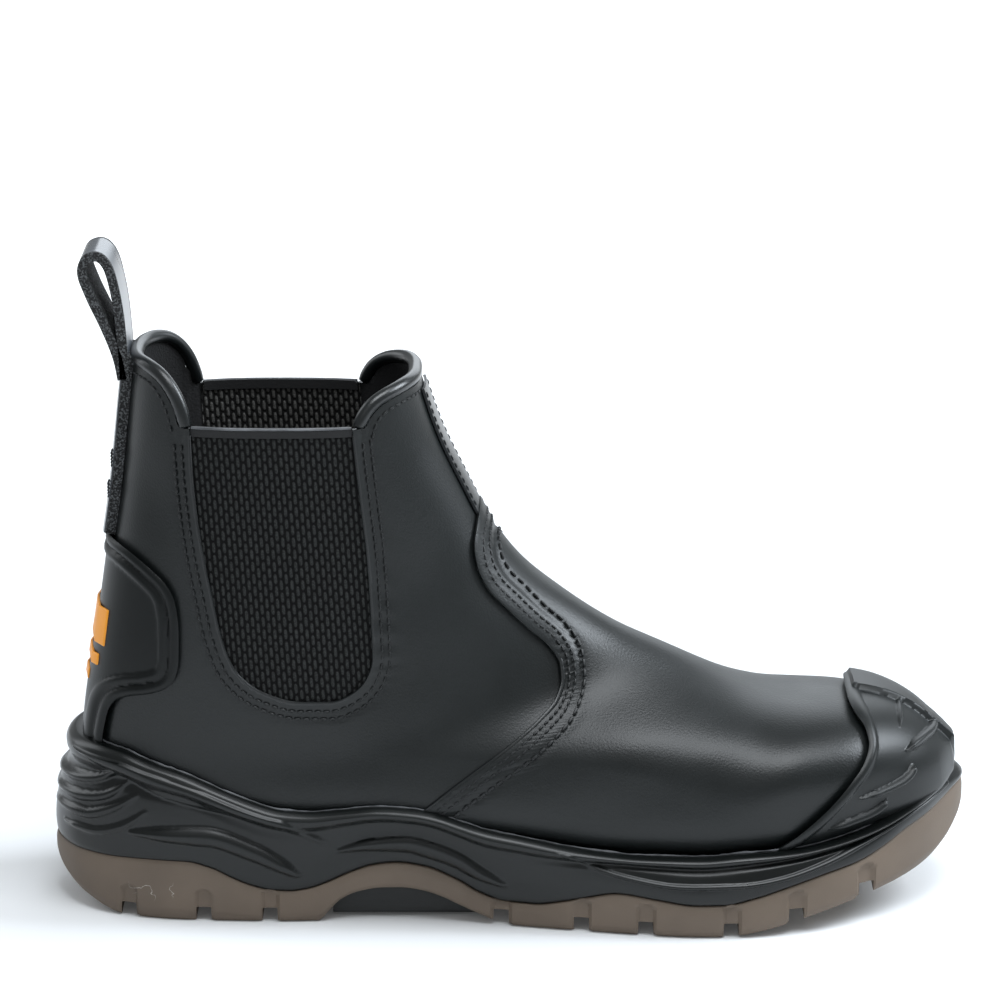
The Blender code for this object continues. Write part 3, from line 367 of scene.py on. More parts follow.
def read_table(table, at, column=1):
    """One column of a table at places along its first column."""
    return smooth([row[0] for row in table], [row[column] for row in table], at)


def height_line(table, x):
    return up(read_table(table, (np.asarray(x) - HEEL_BACK) / LENGTH))


def spread(points, count):
    """Points spread evenly along a smooth line through the given ones."""
    points = np.asarray(points, float)
    run = np.concatenate([[0.0], np.cumsum(np.linalg.norm(np.diff(points, axis=0), axis=1))])
    at = np.linspace(0.0, run[-1], count)
    return np.stack([smooth(run, points[:, c], at) for c in range(points.shape[1])], 1)


def side_line(table, count=120):
    rows = np.asarray([row[:2] for row in table], float)
    return spread(np.stack([along(rows[:, 0]), up(rows[:, 1])], 1), count)


def shifted(points, distance):
    """The line moved to its left by a distance."""
    points = np.asarray(points, float)
    run = np.gradient(points, axis=0)
    run /= np.linalg.norm(run, axis=1)[:, None]
    return points + distance * np.stack([-run[:, 1], run[:, 0]], 1)


# Distances in the side view

def line_distance(points, line, chunk=4000):
    """Distance of side view points to a line, and the share of the way along it."""
    line = np.asarray(line, float)
    a = line[:-1]
    run = line[1:] - a
    size = (run ** 2).sum(1)
    near = np.empty(len(points))
    way = np.empty(len(points))
    for first in range(0, len(points), chunk):
        p = points[first:first + chunk, None, :]
        t = np.clip(((p - a) * run).sum(2) / size, 0.0, 1.0)
        gap = np.sqrt((((a + t[:, :, None] * run) - p) ** 2).sum(2))
        best = gap.argmin(1)
        rows = np.arange(len(gap))
        near[first:first + chunk] = gap[rows, best]
        way[first:first + chunk] = (best + t[rows, best]) / len(a)
    return near, way


def inside(points, outline):
    """Signed distance of side view points to a closed outline, positive inside."""
    outline = np.asarray(outline, float)
    closed = np.concatenate([outline, outline[:1]])
    near, _ = line_distance(points, closed)
    x, z = points[:, 0], points[:, 1]
    odd = np.zeros(len(points), bool)
    for (ax, az), (bx, bz) in zip(closed[:-1], closed[1:]):
        if az == bz:
            continue
        cross = (az > z) != (bz > z)
        odd ^= cross & (x < (bx - ax) * (z - az) / (bz - az) + ax)
    return np.where(odd, near, -near)


def hump(distance, half):
    """Rounded rise: one on a line, nothing past its half width."""
    return np.clip(1.0 - (distance / half) ** 2, 0.0, 1.0)


def stroke_relief(points, strokes):
    """Highest of several rounded ridges, each with its half width given at each of its rows."""
    total = np.zeros(len(points))
    for rows, rise in strokes:
        rows = np.asarray(rows, float)
        line = spread(np.stack([along(rows[:, 0]), up(rows[:, 1]), rows[:, 2]], 1), 40)
        near, way = line_distance(points, line[:, :2])
        half = np.interp(way, np.linspace(0.0, 1.0, len(line)), line[:, 2])
        fade = np.clip(half / line[:, 2].max() * 1.4, 0.0, 1.0)
        total = np.maximum(total, rise * fade * hump(near, half) ** 0.8)
    return total


# Meshes

def linked(name, data):
    made = bpy.data.objects.new(name, data)
    bpy.context.scene.collection.objects.link(made)
    return made


def new_object(name, vertices, faces, merge=MERGE):
    mesh = bpy.data.meshes.new(name)
    mesh.from_pydata(np.asarray(vertices, float).tolist(), [], faces)
    work = bmesh.new()
    work.from_mesh(mesh)
    bmesh.ops.remove_doubles(work, verts=work.verts, dist=merge)
    bmesh.ops.recalc_face_normals(work, faces=work.faces)
    work.to_mesh(mesh)
    work.free()
    return linked(name, mesh)


def ring_faces(levels, count, closed=True):
    """Four-sided faces between one ring of points and the next."""
    faces = []
    for a in range(levels - 1):
        for i in range(count if closed else count - 1):
            j = (i + 1) % count
            faces.append((a * count + i, a * count + j, (a + 1) * count + j, (a + 1) * count + i))
    return faces


def table_at(place):
    """Rows of the last at places between its sections, softened."""
    rows = np.asarray(LAST_ROWS, float)
    dense = np.linspace(0.0, len(rows) - 1.0, ROW_STEPS * (len(rows) - 1) + 1)
    fine = [softened(smooth(np.arange(len(rows)), column, dense), ROW_SOFT) for column in rows.T]
    return np.stack([np.interp(place, dense, column) for column in fine], 1)


def last_grid(out, sections, ring, start=0.0, end=None, turns=(0.0, 1.0)):
    """Points round the last, one ring a section, moved outward by a distance."""
    end = len(LAST_ROWS) - 1.0 if end is None else end
    table = table_at(np.linspace(start, end, sections))
    whole = turns == (0.0, 1.0)
    turn = np.linspace(turns[0], turns[1], ring, endpoint=not whole) * 2.0 * math.pi
    reach = -np.cos(turn)
    grid = np.zeros((sections, ring, 3))
    for i, row in enumerate(table):
        front = np.array([along(row[0]), up(row[1])])
        back = np.array([along(row[2]), up(row[3])])
        power = np.where(reach < 0.0, 2.0 / row[7], 2.0 / row[8])
        room = np.where(reach < 0.0, row[6], 1.0 - row[6])
        share = row[6] + np.sign(reach) * room * np.abs(reach) ** power
        half = np.where(np.sin(turn) > 0.0, -across(row[4]), across(row[5]))
        grid[i, :, 0] = back[0] + share * (front[0] - back[0])
        grid[i, :, 1] = half * np.abs(np.sin(turn)) ** power
        grid[i, :, 2] = back[1] + share * (front[1] - back[1])
    if whole:
        round_way = np.roll(grid, -1, axis=1) - np.roll(grid, 1, axis=1)
    else:
        round_way = np.gradient(grid, axis=1)
    normal = np.cross(np.gradient(grid, axis=0), round_way)
    normal /= np.linalg.norm(normal, axis=2)[:, :, None]
    centre = np.array([0.5 * (grid[:, :, 0].min() + grid[:, :, 0].max()), 0.0, up(0.4)])
    if ((grid - centre) * normal).sum() < 0.0:
        normal = -normal
    return grid + out * normal


def skin_mesh(name, out, sections, ring, start=0.0, end=None, turns=(0.0, 1.0), tip=False):
    """Open sheet over the last, with its faces outward."""
    grid = last_grid(out, sections, ring, start, end, turns)
    vertices = list(grid.reshape(-1, 3))
    faces = ring_faces(sections, ring, turns == (0.0, 1.0))
    if tip:
        point = len(vertices)
        vertices.append(grid[-1].mean(axis=0) + np.array([TIP_OUT, 0.0, 0.0]))
        last = (sections - 1) * ring
        faces += [(point, last + j, last + (j + 1) % ring) for j in range(ring)]
    made = new_object(name, vertices, faces)
    outward(made)
    return made


def outward(made):
    """Faces of an open sheet over the last turned away from its middle."""
    mesh = made.data
    total = 0.0
    for face in mesh.polygons:
        place = face.center
        middle = Vector((max(0.02, min(place.x, 0.22)), 0.0, up(0.30) if place.x > 0.09 else place.z))
        total += (place - middle).dot(face.normal) * face.area
    if total < 0.0:
        mesh.flip_normals()


def trim(made, field):
    """Cut a sheet along the zero of a field and keep its positive side."""
    work = bmesh.new()
    work.from_mesh(made.data)
    places = np.array([v.co for v in work.verts])
    values = list(field(places))
    work.verts.ensure_lookup_table()
    for i, value in enumerate(values):
        if abs(value) < ON_LINE:
            values[i] = ON_LINE
    level = {v: values[i] for i, v in enumerate(work.verts)}
    zero = set()
    for edge in list(work.edges):
        a, b = edge.verts
        if level[a] * level[b] < 0.0:
            _, fresh = bmesh.utils.edge_split(edge, a, level[a] / (level[a] - level[b]))
            level[fresh] = 0.0
            zero.add(fresh)
    for face in list(work.faces):
        on = [v for v in face.verts if v in zero]
        if len(on) == 2 and len(face.verts) > 3:
            try:
                bmesh.utils.face_split(face, on[0], on[1])
            except ValueError:
                pass
    gone = [f for f in work.faces if sum(level[v] for v in f.verts) < 0.0]
    bmesh.ops.delete(work, geom=gone, context="FACES")
    loose = [v for v in work.verts if not v.link_faces]
    bmesh.ops.delete(work, geom=loose, context="VERTS")
    bmesh.ops.remove_doubles(work, verts=work.verts, dist=2.0 * MERGE)
    work.to_mesh(made.data)
    work.free()


def trim_side(made, outline, sign=1.0):
    """Keep what lies inside a side view outline, or outside it with a sign of -1."""
    trim(made, lambda places: sign * inside(places[:, [0, 2]], outline))


def trim_band(made, half, low, high):
    """Keep a band along the middle of the boot, between two heights."""
    trim(made, lambda places: half - np.abs(places[:, 1]))
    trim(made, lambda places: places[:, 2] - low)
    trim(made, lambda places: high - places[:, 2])


def lift(made, amount):
    """Move each point along its normal by an amount worked out from all places."""
    mesh = made.data
    places = np.array([v.co for v in mesh.vertices])
    normals = np.array([v.normal for v in mesh.vertices])
    places += normals * np.asarray(amount(places))[:, None]
    mesh.vertices.foreach_set("co", places.ravel())
    mesh.update()


def thicken(made, thickness, inner_slot=False):
    """Wall under a sheet, closed round its edges."""
    wall = made.modifiers.new("wall", "SOLIDIFY")
    wall.thickness = thickness
    wall.offset = -1.0
    wall.use_even_offset = False
    if inner_slot:
        wall.material_offset = 1
    apply(made, wall)


def pick(made):
    bpy.ops.object.select_all(action="DESELECT")
    made.select_set(True)
    bpy.context.view_layer.objects.active = made


def apply(made, modifier):
    pick(made)
    bpy.ops.object.modifier_apply(modifier=modifier.name)


def finish_piece(made, used, nodes=(), angle=40.0):
    if used is not None:
        made.data.materials.clear()
        made.data.materials.append(used)
    pick(made)
    bpy.ops.object.shade_smooth_by_angle(angle=math.radians(angle))
    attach(made, "root")
    if nodes:
        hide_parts(*nodes)


def met(start, way):
    """Point where a ray first meets the last and its normal towards the ray's start, or None."""
    hit, normal, _, _ = LAST_TREE.ray_cast(Vector(start), Vector(way))
    if hit is None:
        return None
    if normal.dot(Vector(way)) > 0.0:
        normal = -normal
    return np.array(hit), np.array(normal)


def surface_line(line, side, rise):
    """Side view line laid on one side of the boot, with its normals."""
    found = [met((p[0], side * REACH, p[1]), (0.0, -side, 0.0)) for p in line]
    found = [pair for pair in found if pair is not None]
    places = np.array([place + normal * rise for place, normal in found])
    return places, np.array([normal for _, normal in found])


def ridge_line(line, rise, bridge=14):
    """Side view line laid over both sides, joined across the front ridge."""
    near, near_normals = surface_line(line, -1.0, 0.0)
    far, far_normals = surface_line(line, 1.0, 0.0)
    over = []
    over_normals = []
    for share in np.linspace(0.0, 1.0, bridge + 2)[1:-1]:
        hit, normal, _, _ = LAST_TREE.find_nearest(Vector(near[0] * (1.0 - share) + far[0] * share))
        over.append(np.array(hit))
        over_normals.append(np.array(normal) if normal.x > 0.0 else -np.array(normal))
    places = np.concatenate([near[::-1], over, far])
    normals = np.concatenate([near_normals[::-1], over_normals, far_normals])
    return places + normals * rise, normals


def cord_faces(places, radii, first, corners, normals=None, flat=1.0):
    """Round cord along places, as vertices and faces with closed ends."""
    places = np.asarray(places, float)
    run = np.gradient(places, axis=0)
    run /= np.linalg.norm(run, axis=1)[:, None]
    if normals is None:
        normals = np.tile([0.0, 0.0, 1.0], (len(places), 1))
    sideways = np.cross(run, normals)
    sideways /= np.linalg.norm(sideways, axis=1)[:, None] + TINY
    upward = np.cross(sideways, run)
    vertices = []
    faces = []
    radii = np.broadcast_to(radii, len(places))
    for p, s, u, r in zip(places, sideways, upward, radii):
        for c in range(corners):
            turn = 2.0 * math.pi * c / corners
            vertices.append(p + r * (math.cos(turn) * s + flat * math.sin(turn) * u))
    for i in range(len(places) - 1):
        for c in range(corners):
            d = (c + 1) % corners
            a, b = first + i * corners, first + (i + 1) * corners
            faces.append((a + c, a + d, b + d, b + c))
    faces.append(tuple(first + c for c in range(corners))[::-1])
    last = first + (len(places) - 1) * corners
    faces.append(tuple(last + c for c in range(corners)))
    return vertices, faces


def cord(name, places, radius, normals=None, corners=10):
    vertices, faces = cord_faces(places, radius, 0, corners, normals)
    return new_object(name, vertices, faces)


def join_cords(name, cords):
    """Several cords in one mesh: rows of places, radii, normals, corners, flatness."""
    vertices = []
    faces = []
    for places, radii, normals, corners, flat in cords:
        more, loops = cord_faces(places, radii, len(vertices), corners, normals, flat)
        vertices += more
        faces += loops
    return new_object(name, vertices, faces, MERGE_FINE)


def even_line(places, normals, pitch):
    """Places at an even pitch along a line, with their normals and runs."""
    steps = np.linalg.norm(np.diff(places, axis=0), axis=1)
    run = np.concatenate([[0.0], np.cumsum(steps)])
    at = np.arange(pitch / 2.0, run[-1], pitch)

    def read(columns, shift=0.0):
        return np.stack([np.interp(at + shift, run, column) for column in columns.T], 1)

    normal = read(normals)
    normal /= np.linalg.norm(normal, axis=1)[:, None]
    way = read(places, RUN_STEP) - read(places, -RUN_STEP)
    way /= np.linalg.norm(way, axis=1)[:, None] + TINY
    return read(places), normal, way


def stitch_cords(places, normals, long=STITCH_LONG, pitch=STITCH_PITCH, radius=STITCH_RADIUS):
    """Short arched threads along a line."""
    cords = []
    for middle, normal, way in zip(*even_line(places, normals, pitch)):
        thread = [middle + way * long / 2.0 * a + normal * radius * b for a, b, _ in STITCH_ARCH]
        radii = [radius * c for _, _, c in STITCH_ARCH]
        cords.append((thread, radii, np.tile(normal, (len(thread), 1)), 6, 0.8))
    return cords


# Materials

# Dashes of the elastic: pitch across and up, lean of the columns, half sizes as shares of the pitch
WEAVE_WIDE = 0.00178
WEAVE_TALL = 0.0042
WEAVE_LEAN = 0.075
DASH_WIDE = 0.40
DASH_TALL = 0.45
# Height of the scratched place as a share of its length
SCRATCH_FLAT = 0.4


def fill(tree, node, given):
    """Sockets of a node filled with values or linked to other nodes' outputs."""
    for key, value in dict(given).items():
        socket = node.inputs[key]
        if isinstance(value, bpy.types.NodeSocket):
            tree.links.new(value, socket)
        elif socket.type == "RGBA":
            socket.default_value = (*value, 1.0)
        else:
            socket.default_value = value
    return node


def add_node(tree, kind, given=(), **settings):
    made = tree.nodes.new(kind)
    for key, value in settings.items():
        setattr(made, key, value)
    return fill(tree, made, given)


def object_place(tree):
    return add_node(tree, "ShaderNodeTexCoord").outputs["Object"]


def noise(tree, place, scale, detail=2.0):
    given = {"Vector": place, "Scale": scale, "Detail": detail}
    return add_node(tree, "ShaderNodeTexNoise", given).outputs["Fac"]


def maths(tree, operation, *values):
    return add_node(tree, "ShaderNodeMath", enumerate(values), operation=operation).outputs[0]


def bumped(tree, height, depth, strength):
    given = {"Height": height, "Distance": depth, "Strength": strength}
    return add_node(tree, "ShaderNodeBump", given).outputs["Normal"]


def new_material(name):
    made = bpy.data.materials.new(name)
    made.use_nodes = True
    return made, made.node_tree, made.node_tree.nodes["Principled BSDF"]


def new_group(name, inputs, outputs):
    """Node group with named sockets, and what its inputs give."""
    tree = bpy.data.node_groups.new(name, "ShaderNodeTree")
    for label, kind, value in inputs:
        socket = tree.interface.new_socket(label, in_out="INPUT", socket_type="NodeSocket" + kind)
        socket.default_value = value
    for label, kind in outputs:
        tree.interface.new_socket(label, in_out="OUTPUT", socket_type="NodeSocket" + kind)
    return tree, add_node(tree, "NodeGroupInput").outputs


def grain_group():
    """Fine grain: a bumped normal and a value that varies softly over the piece."""
    inputs = (("Scale", "Float", 900.0), ("Depth", "Float", 0.0001),
              ("Strength", "Float", 0.3), ("Drift", "Float", 18.0))
    tree, given = new_group("grain", inputs, (("Normal", "Vector"), ("Soft", "Float")))
    place = object_place(tree)
    at = {"Vector": place, "Scale": given["Scale"]}
    cells = add_node(tree, "ShaderNodeTexVoronoi", at, feature="SMOOTH_F1")
    fine = noise(tree, place, given["Scale"], 6.0)
    height = maths(tree, "ADD", cells.outputs["Distance"], fine)
    add_node(tree, "NodeGroupOutput", {"Normal": bumped(tree, height, given["Depth"], given["Strength"]),
                                       "Soft": noise(tree, place, given["Drift"], 3.0)})
    return tree


def ramp(tree, source, low, high, floor=0.3, ceiling=0.7):
    """A value mapped smoothly between two results."""
    given = {"From Min": floor, "From Max": ceiling, "To Min": low, "To Max": high, "Value": source}
    return add_node(tree, "ShaderNodeMapRange", given, interpolation_type="SMOOTHSTEP").outputs["Result"]


def mix_colours(tree, factor, first, second):
    """Colour between two, each a value or another node's output."""
    given = {"Factor": factor, 6: first, 7: second}
    return add_node(tree, "ShaderNodeMix", given, data_type="RGBA").outputs[2]


def weave_group():
    """Elastic cloth: staggered upright dashes over a dark ground."""
    inputs = (("Dark", "Color", (0.0, 0.0, 0.0, 1.0)), ("Light", "Color", (0.1, 0.1, 0.1, 1.0)))
    tree, given = new_group("weave", inputs, (("Colour", "Color"), ("Normal", "Vector")))

    def calc(operation, *values):
        return maths(tree, operation, *values)

    place = object_place(tree)
    split = add_node(tree, "ShaderNodeSeparateXYZ", {0: place}).outputs
    lean = calc("MULTIPLY", split["Z"], WEAVE_LEAN)
    column = calc("DIVIDE", calc("ADD", split["X"], lean), WEAVE_WIDE)
    odd = calc("MULTIPLY", calc("PINGPONG", calc("FLOOR", column), 1.0), 0.5)
    row = calc("ADD", calc("DIVIDE", split["Z"], WEAVE_TALL), odd)
    u = calc("ABSOLUTE", calc("SUBTRACT", calc("FRACT", column), 0.5))
    v = calc("ABSOLUTE", calc("SUBTRACT", calc("FRACT", row), 0.5))
    wide = calc("POWER", calc("DIVIDE", u, DASH_WIDE), 2.0)
    tall = calc("POWER", calc("DIVIDE", v, DASH_TALL), 4.0)
    dash = calc("MAXIMUM", calc("SUBTRACT", 1.0, calc("ADD", wide, tall)), 0.0)
    fuzz = noise(tree, place, 1600.0, 4.0)
    height = calc("ADD", calc("SQRT", dash), calc("MULTIPLY", fuzz, 0.35))
    bright = calc("MULTIPLY", ramp(tree, dash, 0.0, 1.0, 0.05, 0.75), ramp(tree, fuzz, 0.45, 1.0))
    add_node(tree, "NodeGroupOutput", {
        "Colour": mix_colours(tree, bright, given["Dark"], given["Light"]),
        "Normal": bumped(tree, height, 0.0008, 1.0)})
    return tree


def scratch_group():
    """Mask of thin scratches round a side view place."""
    inputs = (("X", "Float", 0.0), ("Z", "Float", 0.0), ("Reach", "Float", 0.01))
    tree, given = new_group("scratches", inputs, (("Mask", "Float"),))
    place = object_place(tree)
    split = add_node(tree, "ShaderNodeSeparateXYZ", {0: place}).outputs
    edge = maths(tree, "ABSOLUTE", maths(tree, "SUBTRACT", noise(tree, place, 150.0, 3.0), 0.5))
    parts = []
    for axis, flat in (("X", 1.0), ("Z", SCRATCH_FLAT)):
        half = maths(tree, "MULTIPLY", given["Reach"], flat)
        share = maths(tree, "DIVIDE", maths(tree, "SUBTRACT", split[axis], given[axis]), half)
        parts.append(maths(tree, "POWER", share, 2.0))
    near = ramp(tree, maths(tree, "ADD", *parts), 0.75, 0.0, 0.2, 1.0)
    mask = maths(tree, "MULTIPLY", ramp(tree, edge, 1.0, 0.0, 0.003, 0.010), near)
    add_node(tree, "NodeGroupOutput", {"Mask": mask})
    return tree


GRAIN = grain_group()
WEAVING = weave_group()
SCRATCHES = scratch_group()


def finish(name, dark, light, rough_low, rough_high, scale, depth, strength, drift=18.0,
           coat=0.0, coat_rough=0.3, specular=0.5):
    """Surface with fine grain and a slow drift of colour and gloss."""
    made, tree, shader = new_material(name)
    given = {"Scale": scale, "Depth": depth, "Strength": strength, "Drift": drift}
    grain = add_node(tree, "ShaderNodeGroup", given, node_tree=GRAIN)
    soft = grain.outputs["Soft"]
    fill(tree, shader, {
        "Normal": grain.outputs["Normal"],
        "Roughness": ramp(tree, soft, rough_low, rough_high),
        "Base Color": mix_colours(tree, ramp(tree, soft, 0.0, 1.0), dark, light),
        "Coat Weight": coat,
        "Coat Roughness": coat_rough,
        "Specular IOR Level": specular})
    return made


def weave_finish(name, dark, light):
    made, tree, shader = new_material(name)
    weave = add_node(tree, "ShaderNodeGroup", {"Dark": dark, "Light": light}, node_tree=WEAVING)
    fill(tree, shader, {
        "Normal": weave.outputs["Normal"],
        "Base Color": weave.outputs["Colour"],
        "Roughness": 0.75,
        "Specular IOR Level": 0.16})
    return made


def webbing_finish(name, dark, light):
    """Speckled dark webbing."""
    made, tree, shader = new_material(name)
    place = object_place(tree)
    cells = add_node(tree, "ShaderNodeTexVoronoi", {"Vector": place, "Scale": 1500.0})
    spot = ramp(tree, noise(tree, place, 1500.0), 0.0, 1.0, 0.47, 0.62)
    fill(tree, shader, {
        "Normal": bumped(tree, cells.outputs["Distance"], 0.0005, 0.8),
        "Base Color": mix_colours(tree, spot, dark, light),
        "Roughness": 0.8})
    return made


def scuff(made, x, z, reach, pale):
    """Pale scratches laid over a finish."""
    tree = made.node_tree
    shader = tree.nodes["Principled BSDF"]
    given = {"X": x, "Z": z, "Reach": reach}
    mask = add_node(tree, "ShaderNodeGroup", given, node_tree=SCRATCHES).outputs["Mask"]
    base = shader.inputs["Base Color"].links[0].from_socket
    fill(tree, shader, {"Base Color": mix_colours(tree, mask, base, pale)})


LEATHER = finish("leather", (0.0028, 0.0042, 0.0042), (0.0050, 0.0068, 0.0070), 0.36, 0.46,
                 1500.0, 0.00022, 0.20, specular=0.44)
STRIP_LEATHER = finish("strip_leather", (0.0100, 0.0115, 0.0125), (0.0160, 0.0180, 0.0195), 0.30, 0.38,
                       1500.0, 0.00018, 0.20)
ROLL_LEATHER = finish("roll_leather", (0.0030, 0.0042, 0.0044), (0.0050, 0.0066, 0.0070), 0.28, 0.36,
                      1700.0, 0.00015, 0.18, coat=0.15, coat_rough=0.28)
RUBBER = finish("black_rubber", (0.0020, 0.0028, 0.0026), (0.0040, 0.0052, 0.0050), 0.27, 0.36,
                2300.0, 0.00010, 0.10, specular=0.42)
GUARD_RUBBER = finish("guard_rubber", (0.0036, 0.0050, 0.0050), (0.0062, 0.0080, 0.0080), 0.36, 0.46,
                      2300.0, 0.00012, 0.13, specular=0.40)
# Heel counter: the guard's rubber made darker and less glossy, painted shade on the back of the heel
SHADED_COUNTER_RUBBER = finish("counter_rubber", (0.0022, 0.0032, 0.0032), (0.0040, 0.0052, 0.0052), 0.36, 0.44,
                        2300.0, 0.00012, 0.13, specular=0.26)
TREAD_RUBBER = finish("tread_rubber", (0.117, 0.087, 0.063), (0.146, 0.110, 0.081), 0.55, 0.66,
                      1300.0, 0.00015, 0.18, drift=40.0)
scuff(TREAD_RUBBER, along(0.115), up(0.055), 0.011, (0.50, 0.47, 0.42))
BLOCK_RUBBER = finish("block_rubber", (0.012, 0.013, 0.013), (0.016, 0.017, 0.017), 0.5, 0.6,
                      1500.0, 0.00015, 0.15)
THREAD = finish("thread", (0.004, 0.005, 0.005), (0.012, 0.013, 0.014), 0.45, 0.6, 3000.0, 0.0001, 0.3)
LINING = finish("lining", (0.004, 0.004, 0.0044), (0.007, 0.007, 0.0075), 0.85, 0.95, 1400.0, 0.0003, 0.5)
FELT = finish("felt", (0.020, 0.020, 0.021), (0.032, 0.032, 0.033), 0.85, 0.95, 1400.0, 0.0003, 0.5)
TAPE = finish("tape", (0.004, 0.004, 0.0044), (0.007, 0.007, 0.0075), 0.65, 0.75, 1900.0, 0.0002, 0.4)
SATIN = finish("satin_tape", (0.040, 0.046, 0.055), (0.080, 0.090, 0.104), 0.24, 0.32, 1900.0, 0.0001, 0.15,
               coat=0.2)
ORANGE = finish("orange_print", (0.88, 0.310, 0.010), (0.95, 0.360, 0.014), 0.45, 0.55, 1500.0, 0.0001, 0.1)
WEAVE = weave_finish("elastic_weave", (0.0010, 0.0010, 0.0011), (0.036, 0.038, 0.037))
# Back of the elastic inside the shaft: its own brownish colour, made lighter still as painted light
WEAVE_BACK_PAINTED_LIGHT = weave_finish("elastic_weave_back_painted_light", (0.0060, 0.0058, 0.0055), (0.110, 0.108, 0.102))
WEBBING = webbing_finish("webbing", (0.006, 0.006, 0.0065), (0.090, 0.095, 0.098))
GLUE = finish("edge_glue", (0.055, 0.058, 0.062), (0.150, 0.155, 0.165), 0.30, 0.45, 1500.0, 0.0002, 0.4,
              drift=160.0)


# Reference surface of the last, for what is laid on it
LAST = skin_mesh("last_reference", 0.0, 240, 240, tip=True)
LAST_TREE = BVHTree.FromPolygons([v.co for v in LAST.data.vertices],
                                 [tuple(face.vertices) for face in LAST.data.polygons])
bpy.data.objects.remove(LAST)


def over_line(line):
    """Closed outline of everything over a line."""
    top = 2.0 * HEIGHT
    return [*line, (line[-1][0], top), (line[0][0], top)]


def floor_line(rise):
    """Line just over the bottom of the last."""
    inner = [(along(row[2]), up(row[3]) + rise) for row in LAST_ROWS[FIRST_BOTTOM_ROW:]]
    return [(BEHIND, inner[0][1]), *inner, (inner[-1][0] + REACH, inner[-1][1])]


def rim_line(rise):
    x = np.linspace(HEEL_BACK - 0.3 * LENGTH, AHEAD, 160)
    return [(a, b + rise) for a, b in zip(x, height_line(RIM, x))]


def collar_line(drop):
    """Everything under the collar's edge, which lies a distance inside its tables' lines."""
    level = up(GORE_TOP)
    back, front = ([tuple(p) for p in shifted(side_line(table, 60), -drop) if p[1] > level]
                   for table in (COLLAR_BACK, COLLAR_FRONT))
    line = [(BEHIND, back[0][1]), *back[1:], (back[-1][0], level), (front[0][0], level), *front[:-1]]
    return [*line, (AHEAD, front[-1][1]), (AHEAD, -HEIGHT), (BEHIND, -HEIGHT)]


def gore_outline(inset, top):
    line = [tuple(p) for p in shifted(side_line(GORE, 140), inset) if p[1] < top]
    return [(line[0][0], top), *line, (line[-1][0], top)]


def toe_side(line):
    """Closed outline of everything on the toe side of a line."""
    return [*line, (AHEAD, line[-1][1]), (AHEAD, line[0][1])]


def heel_side(line):
    """Closed outline of everything on the heel side of a line."""
    return [(BEHIND, line[0][1]), *line, (BEHIND, line[-1][1])]


# Soft dents and swells of the leather: place, height, reach along, reach up, depth
DENTS = (
    (0.560, 0.400, 0.055, 0.060, -0.0011),
    (0.640, 0.330, 0.070, 0.050, 0.0007),
    (0.740, 0.260, 0.050, 0.050, -0.0006),
    (0.600, 0.210, 0.060, 0.045, -0.0007),
    (0.690, 0.200, 0.050, 0.045, 0.0006),
    (0.800, 0.280, 0.030, 0.050, 0.0005),
    (0.250, 0.300, 0.080, 0.050, -0.0007),
    (0.420, 0.420, 0.050, 0.090, 0.0008),
    (0.420, 0.600, 0.030, 0.080, -0.0008),
    (0.120, 0.750, 0.025, 0.080, -0.0007),
)


def row_dip(near, drops, depth, half):
    """Leather drawn down along rows of stitches at distances from a line."""
    return -depth * sum(hump(near - drop, half) for drop in drops)


def vamp_swell(places):
    """Soft dents, the padded edge of the vamp, and the leather drawn down at its stitches."""
    near, _ = line_distance(places[:, [0, 2]], side_line(SEAM, 140))
    rise, half, drop = VAMP_PUFF
    puff = rise * hump(near - drop, half) ** 0.7
    return leather_swell(places) + puff + row_dip(near, [row[0] for row in VAMP_ROWS], *VAMP_DIP)


def quarter_swell(places):
    """Soft dents, with the folded edge and the stitches round the elastic."""
    near, _ = line_distance(places[:, [0, 2]], side_line(GORE, 140))
    rise, half = GORE_FOLD
    return leather_swell(places) + row_dip(near, GORE_ROWS, *GORE_DIP) + rise * hump(near, half)


def leather_swell(places):
    x = (places[:, 0] - HEEL_BACK) / LENGTH
    z = places[:, 2] / HEIGHT
    total = np.zeros(len(places))
    for px, pz, rx, rz, depth in DENTS:
        total += depth * np.exp(-((x - px) / rx) ** 2 - ((z - pz) / rz) ** 2)
    return total


def build_upper():
    """Quarter with its lining, cut out for the collar, the elastic and the sole."""
    made = skin_mesh("upper_leather", 0.0, 230, 220, tip=True)
    trim_side(made, collar_line(2.0 * ROLL_RADIUS - 0.0004))
    trim_side(made, over_line(floor_line(FLOOR_RISE)))
    trim_side(made, gore_outline(0.0, up(0.95)), -1.0)
    lift(made, quarter_swell)
    made.data.materials.append(LEATHER)
    made.data.materials.append(LINING)
    thicken(made, WALL, True)
    finish_piece(made, None, ("upper",))


def build_vamp():
    """Vamp over the quarter."""
    made = skin_mesh("vamp_leather", VAMP_STEP, 230, 220, start=3.0, tip=True)
    trim_side(made, toe_side(side_line(SEAM, 140)))
    trim_side(made, over_line(rim_line(-0.0015)))
    lift(made, vamp_swell)
    thicken(made, VAMP_STEP - 0.00025)
    finish_piece(made, LEATHER)


